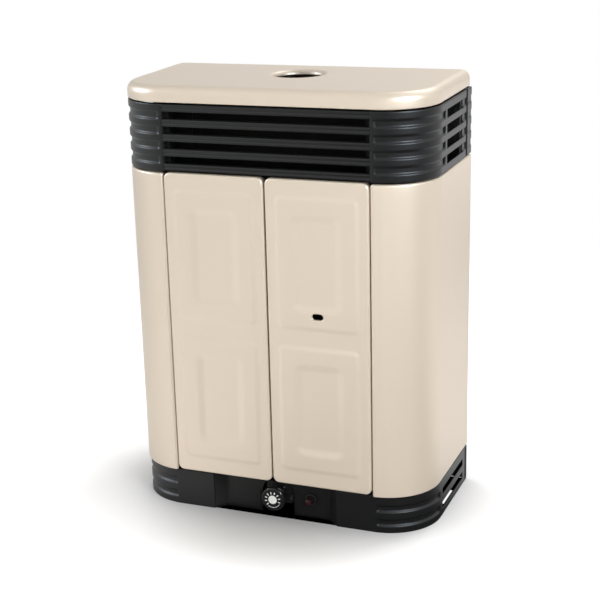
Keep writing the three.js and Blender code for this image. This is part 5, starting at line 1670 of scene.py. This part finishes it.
@dataclass
class Fasteners:
    """The screws of the rear panel and of the valve, each with a domed head."""

    panel_x: float = 318.2
    panel_heights: tuple = (151.0, 863.0)
    panel_face: float = 175.7
    valve_x: float = 34.3
    valve_y: float = -100.0
    valve_z: float = 47.0
    head: float = 4.4
    rise: float = 2.2
    shank: float = 1.7
    depth: float = 8.0
    cross: tuple = (0.45, 2.3, 0.9)
    cross_edge: float = 0.3

    def screws(self) -> list[Screw]:
        """All the screws, with the places where their heads rest."""
        columns = (-self.panel_x, self.panel_x)
        spots = [(x, self.panel_face, z) for z in self.panel_heights for x in columns]
        rear = (0.0, 1.0, 0.0)
        found = [Screw(f"rear_panel_screw_{k}", spot, rear) for k, spot in enumerate(spots, 1)]
        for number, way in ((1, -1.0), (2, 1.0)):
            place = (way * self.valve_x, self.valve_y, self.valve_z)
            found.append(Screw(f"valve_screw_{number}", place, (way, 0.0, 0.0)))
        return found

    def head_mesh(self, screw: Screw) -> Surface:
        """A screw with a domed head and a cross pressed into it.

        Formula: a turned profile, whose points on the dome sink by the cross's depth where
        they lie within half a width of either of two lines through the axis.

        Args:
            screw: The screw.

        Returns:
            The surface of the screw.
        """
        bow = np.linspace(0, 1, 15)[1:]
        dome = np.stack([self.head * (1 - bow), self.rise * np.sqrt(1 - (1 - bow) ** 2 * 0.92)], axis=1)
        rest = np.array([
            [0.0, -self.depth], [self.shank, -self.depth + 1.2], [self.shank, 0.0],
            [self.head - 0.3, 0.0], [self.head, 0.35],
        ])
        profile = np.concatenate([rest, dome])
        grid = turned(profile, screw.place, screw.out, 72)
        out = np.array(screw.out)
        off = grid - np.array(screw.place)
        a, b = np.abs(off @ np.array(UPWARD)), np.abs(off @ np.cross(out, UPWARD))
        half, reach, deep = self.cross
        arms = np.maximum(*(
            np.minimum(
                smooth_step(across, half + self.cross_edge, half),
                smooth_step(along, reach + self.cross_edge, reach),
            ) for across, along in ((a, b), (b, a))
        ))
        arms[:len(rest)] = 0.0
        surface = Surface()
        surface.grid(grid - arms[..., None] * deep * out, closed=True)
        return surface

    def build(self) -> None:
        """Makes each screw."""
        for screw in self.screws():
            piece = self.head_mesh(screw).build(screw.node.replace("screw", "fastener"))
            settle(piece, "case", ZINC, screw.node)


def standing(line: Array, bottom: float, top: float) -> Surface:
    """An upright sheet over a line of places, between two heights."""
    surface = Surface()
    surface.grid(lifted(np.stack([line, line]), np.array([bottom, top])))
    return surface


# Dark sheets put where the inside is only in shade.
@dataclass
class ShadeWings:
    """Dark sheets on both sides of the air deflector, which stand in for the shade inside and close the
    view to the rear.
    """

    inner: float = 219.5
    outer: float = 324.0
    bottom: float = 765.0
    top: float = 921.0
    face: float = -40.0
    rear_turn: float = 40.0
    inside: tuple = (0.0, 100.0, 840.0)
    skin: float = 1.2

    def build(self) -> None:
        """Makes each wing: a flat sheet along X that turns to the rear round a quarter circle."""
        bend, end = self.rear_turn, [[self.outer, self.face + 3 * self.rear_turn]]
        turn = arc(self.outer - bend, self.face + bend, bend, -1, 0, 10)
        line = np.concatenate([[[self.inner, self.face]], turn, end])
        for side in Side:
            sheet = standing(line, self.bottom, self.top)
            pressed(sheet, side, "shade_wing", self.skin, DULL_BLACK, inside=self.inside)


# Dark sheets put where the inside of the plinth is only in shade.
@dataclass
class PlinthShadeSheets:
    """Dark sheets at the plinth's rear corners, which stand in for the shade inside and close the view
    through its side windows.
    """

    inner: float = 240.0
    outer: float = 346.0
    bottom: float = 1.0
    top: float = 84.0
    face: float = 172.0
    inside: tuple = (0.0, 200.0, 40.0)
    skin: float = 1.2

    def build(self) -> None:
        """Makes each end: a flat upright sheet along X."""
        line = np.array([[self.inner, self.face], [self.outer, self.face]])
        for side in Side:
            sheet = standing(line, self.bottom, self.top)
            pressed(sheet, side, "plinth_shade_sheet", self.skin, DULL_BLACK, inside=self.inside)


@dataclass
class FlueSpigot:
    """The round flue spigot inside the hole of the cover, with its flange on the hood."""

    foot: float = 790.6
    flange: float = 61.4
    flange_thickness: float = 2.0
    outer: float = 50.0
    inner: float = 48.0
    top: float = 938.0
    bead: float = 0.9

    def build(self) -> bpy.types.Object:
        """Makes the spigot: a closed section turned about the flue's axis.

        Formula: the outer wall swells by a half sine in a bead near its top.

        Returns:
            The spigot.
        """
        rise = np.linspace(self.top - 22, self.top - 12, 9)
        swell = self.bead * np.sin(np.linspace(0, math.pi, 9))
        wall = np.stack([self.outer + swell, rise], axis=1)
        inner, outer, foot = self.inner, self.outer, self.foot
        rest = foot + self.flange_thickness
        below = [
            [inner, foot], [self.flange, foot], [self.flange, rest], [outer + 2, rest],
            [outer, rest + 2],
        ]
        above = [[outer, self.top - 0.5], [outer - 0.5, self.top], [inner, self.top], [inner, foot]]
        profile = np.concatenate([below, wall, above])
        surface = spun(profile, (0.0, CASE.flue_y, 0.0), UPWARD, 96)
        return settle(surface.build("spigot_tube"), "case", DARK_STEEL, "flue_spigot")


class Interior:
    """The carried-over solids, each with the finish of its slot in the record."""

    finishes = (
        CREAM, DULL_BLACK, GALVANISED, ZINC, DARK_STEEL, ALUMINISED, GLASS, BRASS, COPPER, CERAMIC,
        ALLOY, BLACK_PLASTIC, RED_PLASTIC, LEAD_SLEEVE,
    )

    def build(self) -> None:
        """Gives every solid its finish, the hidden ones too."""
        finish_of = {finish.slot: finish for finish in self.finishes}
        for part in frame["record"]["subparts"]:
            solid = frame["nodes"][part["node"]]
            finish = finish_of[part["material_slot"]]
            for slot in solid.material_slots:
                slot.material = finish.material
            LOG.info("%s: %s", solid.name, finish.name)


# The studio


@dataclass(frozen=True)
class Softbox:
    """A soft lamp.

    Attributes:
        name: The lamp's name.
        place: Where it hangs.
        width: Its width.
        height: Its height.
        power: Its power, in watts.
        mirrored: Whether gloss shows it.
        lighting: Whether matt surfaces take its light.
        colour: Its colour.
        target: The place that it faces.
    """

    name: str
    place: tuple
    width: float
    height: float
    power: float
    mirrored: bool = True
    lighting: bool = True
    colour: tuple = (1.0, 1.0, 1.0)
    target: tuple = (0.0, 0.0, 0.5)


@dataclass
class Studio:
    """The camera, the lamps, the white world, and the pale floor that keeps the shadow."""

    eye: tuple = (1.126, -2.876, 1.416)
    yaw: float = 23.36
    pitch: float = 18.26
    roll: float = -2.06
    lens: float = 86.44
    sensor: float = 36.0
    shift: tuple = (0.0833, 0.0467)
    floor_side: float = 40.0
    floor_depth: float = 0.0004
    floor_colour: float = 0.8
    floor_glow: float = 0.85
    shade_reach: float = 0.4
    shade_power: float = 2.6
    shadow_middle: tuple = (0.0, -0.16, 0.0)
    shadow_half: tuple = (0.36, 0.32, 1.0)
    # Within these sizes the floor under the heater is painted black with no glow: a painted shade.
    foot_inner: tuple = (0.24, 0.062)
    foot_radius: float = 0.1
    foot_rear: float = 0.172
    # A painted strip of light: a patch of floor that glows as if lit through the right side's lower
    # window.
    painted_light_strip: tuple = ((0.3326, 0.0215), (0.3366, 0.0955))
    painted_light_strip_edge: float = 0.0012
    white_from: float = 1.3
    white_at: float = 2.4
    ambient: float = 0.35
    bright_way: tuple = (-0.643, 0.766, 0.0)
    bright_from: float = -0.75
    bright_to: float = -0.2
    dark_gloss: float = 0.05
    boxes: tuple = (
        Softbox("front", (0.9, -4.0, 0.7), 2.2, 1.4, 83.0, mirrored=False),
        Softbox("right", (1.7, -1.5, 1.0), 0.9, 0.7, 14.0, mirrored=False),
        Softbox("right_streak", (1.75, -1.1, 1.65), 0.65, 0.25, 65.0, lighting=False, colour=COOL),
        Softbox("left_streak", (-2.6, -0.85, 1.9), 0.5, 0.3, 60.0, lighting=False, colour=COOL),
        Softbox("side_card", (1.0, 2.4, 0.4), 1.0, 0.4, 1.2, lighting=False, target=(0.35, 0, 0.87)),
        Softbox("back", (0.9, 1.8, 3.2), 1.4, 1.4, 36.0),
    )

    def camera(self) -> None:
        """Places the camera: its axes from the yaw and the pitch, turned by the roll."""
        yaw, pitch, roll = (math.radians(value) for value in (self.yaw, self.pitch, self.roll))
        level = math.cos(pitch)
        ahead = Vector((-math.sin(yaw) * level, math.cos(yaw) * level, -math.sin(pitch)))
        right = Vector((math.cos(yaw), math.sin(yaw), 0.0))
        up = right.cross(ahead)
        across = right * math.cos(roll) + up * math.sin(roll)
        upward = up * math.cos(roll) - right * math.sin(roll)
        data = bpy.data.cameras.new("photo_view")
        data.lens, data.sensor_width, data.sensor_fit = self.lens, self.sensor, "HORIZONTAL"
        data.shift_x, data.shift_y = self.shift
        data.clip_end = 100.0
        eye = bpy.data.objects.new("photo_view", data)
        turn = Matrix((across, upward, -ahead)).transposed().to_4x4()
        eye.matrix_world = Matrix.Translation(Vector(self.eye)) @ turn
        bpy.context.scene.collection.objects.link(eye)
        bpy.context.scene.camera = eye

    def lamps(self) -> None:
        """Hangs the soft lamps."""
        for box in self.boxes:
            data = bpy.data.lights.new(box.name, "AREA")
            data.shape, data.size, data.size_y = "RECTANGLE", box.width, box.height
            data.energy = box.power
            data.color = box.colour
            lamp = bpy.data.objects.new(box.name, data)
            way = Vector(box.target) - Vector(box.place)
            turn = way.to_track_quat("-Z", "Y").to_matrix().to_4x4()
            lamp.matrix_world = Matrix.Translation(Vector(box.place)) @ turn
            lamp.visible_glossy = box.mirrored
            lamp.visible_diffuse = box.lighting
            lamp.visible_camera = False
            bpy.context.scene.collection.objects.link(lamp)

    def seen(self, graph: Graph, place: bpy.types.NodeSocket) -> bpy.types.NodeSocket:
        """How much of the white each kind of ray sees.

        Formula: 1 for rays from the camera and through glass; for rays off gloss, a value
        that rises with the cosine of the angle between the unit direction and the room's
        bright side, which is behind and left of the heater.

        Args:
            graph: The tree that takes the nodes.
            place: The place, seen from the heater, or the direction.

        Returns:
            The share, 0 for all other rays.
        """
        path = graph.add("ShaderNodeLightPath").outputs
        way = graph.vector("NORMALIZE", place)
        toward = graph.vector("DOT_PRODUCT", way, self.bright_way, out="Value")
        share = graph.remap(toward, self.bright_from, self.bright_to, self.dark_gloss, soft=True)
        gloss = graph.math("MULTIPLY", share, path["Is Glossy Ray"])
        plain = graph.math("MAXIMUM", path["Is Camera Ray"], path["Is Transmission Ray"])
        return graph.math("MAXIMUM", plain, gloss)

    def world(self) -> None:
        """Makes the world: white where it is seen, dimmer where it lights."""
        world = bpy.data.worlds.new("white_room")
        bpy.context.scene.world = world
        graph = Graph.fresh(world)
        way = graph.add("ShaderNodeTexCoord").outputs["Generated"]
        diffuse = graph.add("ShaderNodeLightPath").outputs["Is Diffuse Ray"]
        soft = graph.math("MULTIPLY", diffuse, self.ambient)
        strength = graph.math("MAXIMUM", self.seen(graph, way), soft)
        light = graph.add("ShaderNodeBackground", {"Color": WHITE, "Strength": strength})
        graph.add("ShaderNodeOutputWorld", {"Surface": light.outputs[0]})

    def floor(self) -> None:
        """Lays the floor: matt, with a glow of its own where it is seen, dimmer in dark gloss.

        Formula: the glow, dimmed as painted shade, is the open share of the sky, raised to a power,
        times a soft step of the distance from the painted shadow's middle; under the heater the floor
        is painted black, and a painted strip of light glows by the right side's lower window; far out,
        the floor passes softly to plain white.
        """
        half = self.floor_side / 2 / MILLIMETRE
        x, y = np.meshgrid([-half, half], [-half, half])
        surface = Surface()
        surface.grid(np.stack([x, y, np.full_like(x, -self.floor_depth / MILLIMETRE)], axis=-1))
        floor = surface.build("floor", (0.0, 0.0, -1000.0))
        material = bpy.data.materials.new("pale_floor")
        graph = Graph.fresh(material)
        place = graph.add("ShaderNodeTexCoord").outputs["Object"]
        clear_of_painted_shade = self.clear_of_painted_under_shade(graph, place)
        # dark is the painted shade of the floor under the heater.
        dark, pale = ((value, value, value, 1.0) for value in (0.0, self.floor_colour))
        matt = graph.add("ShaderNodeBsdfDiffuse", {"Color": graph.blend(clear_of_painted_shade, dark, pale)})
        seen = self.seen(graph, place)
        shown = graph.math("GREATER_THAN", seen, 0.0)
        # Painted shade: the floor's glow dims where the heater closes off the sky, and dims again about
        # a middle in front of it, as a painted shadow.
        open_share = graph.add("ShaderNodeAmbientOcclusion", {"Distance": self.shade_reach}, samples=8)
        shade = graph.math("POWER", open_share.outputs["AO"], self.shade_power)
        glow = graph.math("MULTIPLY", graph.math("MULTIPLY", shown, self.floor_glow), shade)
        aside = graph.vector("SUBTRACT", place, self.shadow_middle)
        aside = graph.vector("LENGTH", graph.vector("DIVIDE", aside, self.shadow_half), out="Value")
        clear_of_painted_shadow = graph.remap(aside, 0.0, 1.0, soft=True)
        glow = graph.math("MULTIPLY", graph.math("MULTIPLY", glow, clear_of_painted_shadow), clear_of_painted_shade)
        # Painted light: a strip of the floor glows as if lit through the right side's lower window.
        glow = graph.math("MAXIMUM", glow, self.painted_light_strip_mask(graph, place))
        shine = graph.add("ShaderNodeEmission", {"Color": WHITE, "Strength": glow})
        near = graph.add("ShaderNodeAddShader", {0: matt.outputs[0], 1: shine.outputs[0]})
        away = graph.vector("LENGTH", place, out="Value")
        far = graph.remap(away, self.white_from, self.white_at, soft=True)
        far = graph.math("MULTIPLY", far, shown)
        plain = graph.add("ShaderNodeEmission", {"Color": WHITE, "Strength": 1.0})
        both = graph.add("ShaderNodeMixShader", {0: far, 1: near.outputs[0], 2: plain.outputs[0]})
        hidden = graph.math("SUBTRACT", shown, seen)
        dim = graph.add("ShaderNodeMixShader", {0: hidden, 1: both.outputs[0]})
        graph.add("ShaderNodeOutputMaterial", {"Surface": dim.outputs[0]})
        floor.data.materials.append(material)

    def clear_of_painted_under_shade(self, graph: Graph, place: bpy.types.NodeSocket) -> bpy.types.NodeSocket:
        """Where the floor lies beside the heater, not under it; under it the floor is painted black
        with no glow, a painted shade.

        Formula: how far a point lies beside and in front of an inner rectangle, nought inside it;
        1 where the root of the sum of the two squares is over the radius of the front corners, or
        behind the heater's rear.
        """
        axes = graph.add("ShaderNodeSeparateXYZ", {0: place}).outputs
        ways = (graph.math("ABSOLUTE", axes["X"]), graph.math("MULTIPLY", axes["Y"], -1.0))
        steps = [
            graph.math("MAXIMUM", graph.math("SUBTRACT", value, half), 0.0)
            for value, half in zip(ways, self.foot_inner)
        ]
        squares = [graph.math("MULTIPLY", step, step) for step in steps]
        reach = graph.math("SQRT", graph.math("ADD", *squares))
        beyond = graph.math("GREATER_THAN", reach, self.foot_radius)
        return graph.math("MAXIMUM", beyond, graph.math("GREATER_THAN", axes["Y"], self.foot_rear))

    def painted_light_strip_mask(self, graph: Graph, place: bpy.types.NodeSocket) -> bpy.types.NodeSocket:
        """A painted strip of light on the floor, a glow that shows through the right side's lower
        window.

        Formula: for each axis, a soft rise at the strip's near end times a soft fall at its far
        end; the product of both axes.
        """
        axes = graph.add("ShaderNodeSeparateXYZ", {0: place}).outputs
        edge, mask = self.painted_light_strip_edge, 1.0
        for value, low, high in zip((axes["X"], axes["Y"]), *self.painted_light_strip):
            rise, fall = graph.remap(value, low - edge, low), graph.remap(value, high + edge, high)
            mask = graph.math("MULTIPLY", mask, graph.math("MULTIPLY", rise, fall))
        return mask

    def build(self) -> None:
        """Sets up the whole studio."""
        self.camera()
        self.lamps()
        self.world()
        self.floor()
        bpy.context.scene.view_settings.view_transform = "Standard"


def main() -> None:
    """Builds the heater and its studio in order."""
    logging.basicConfig(level=logging.INFO, format="%(name)s: %(message)s")
    Studio().build()
    Interior().build()
    Cover().build()
    for side in Side:
        FrontPanel(side).build()
        SidePanel(side).build()
    groups = (
        UpperGrille(), Plinth(), Knob(), Igniter(), ValveFront(), Fasteners(), ShadeWings(),
        PlinthShadeSheets(), FlueSpigot(),
    )
    for group in groups:
        group.build()


if __name__ == "__main__":
    main()
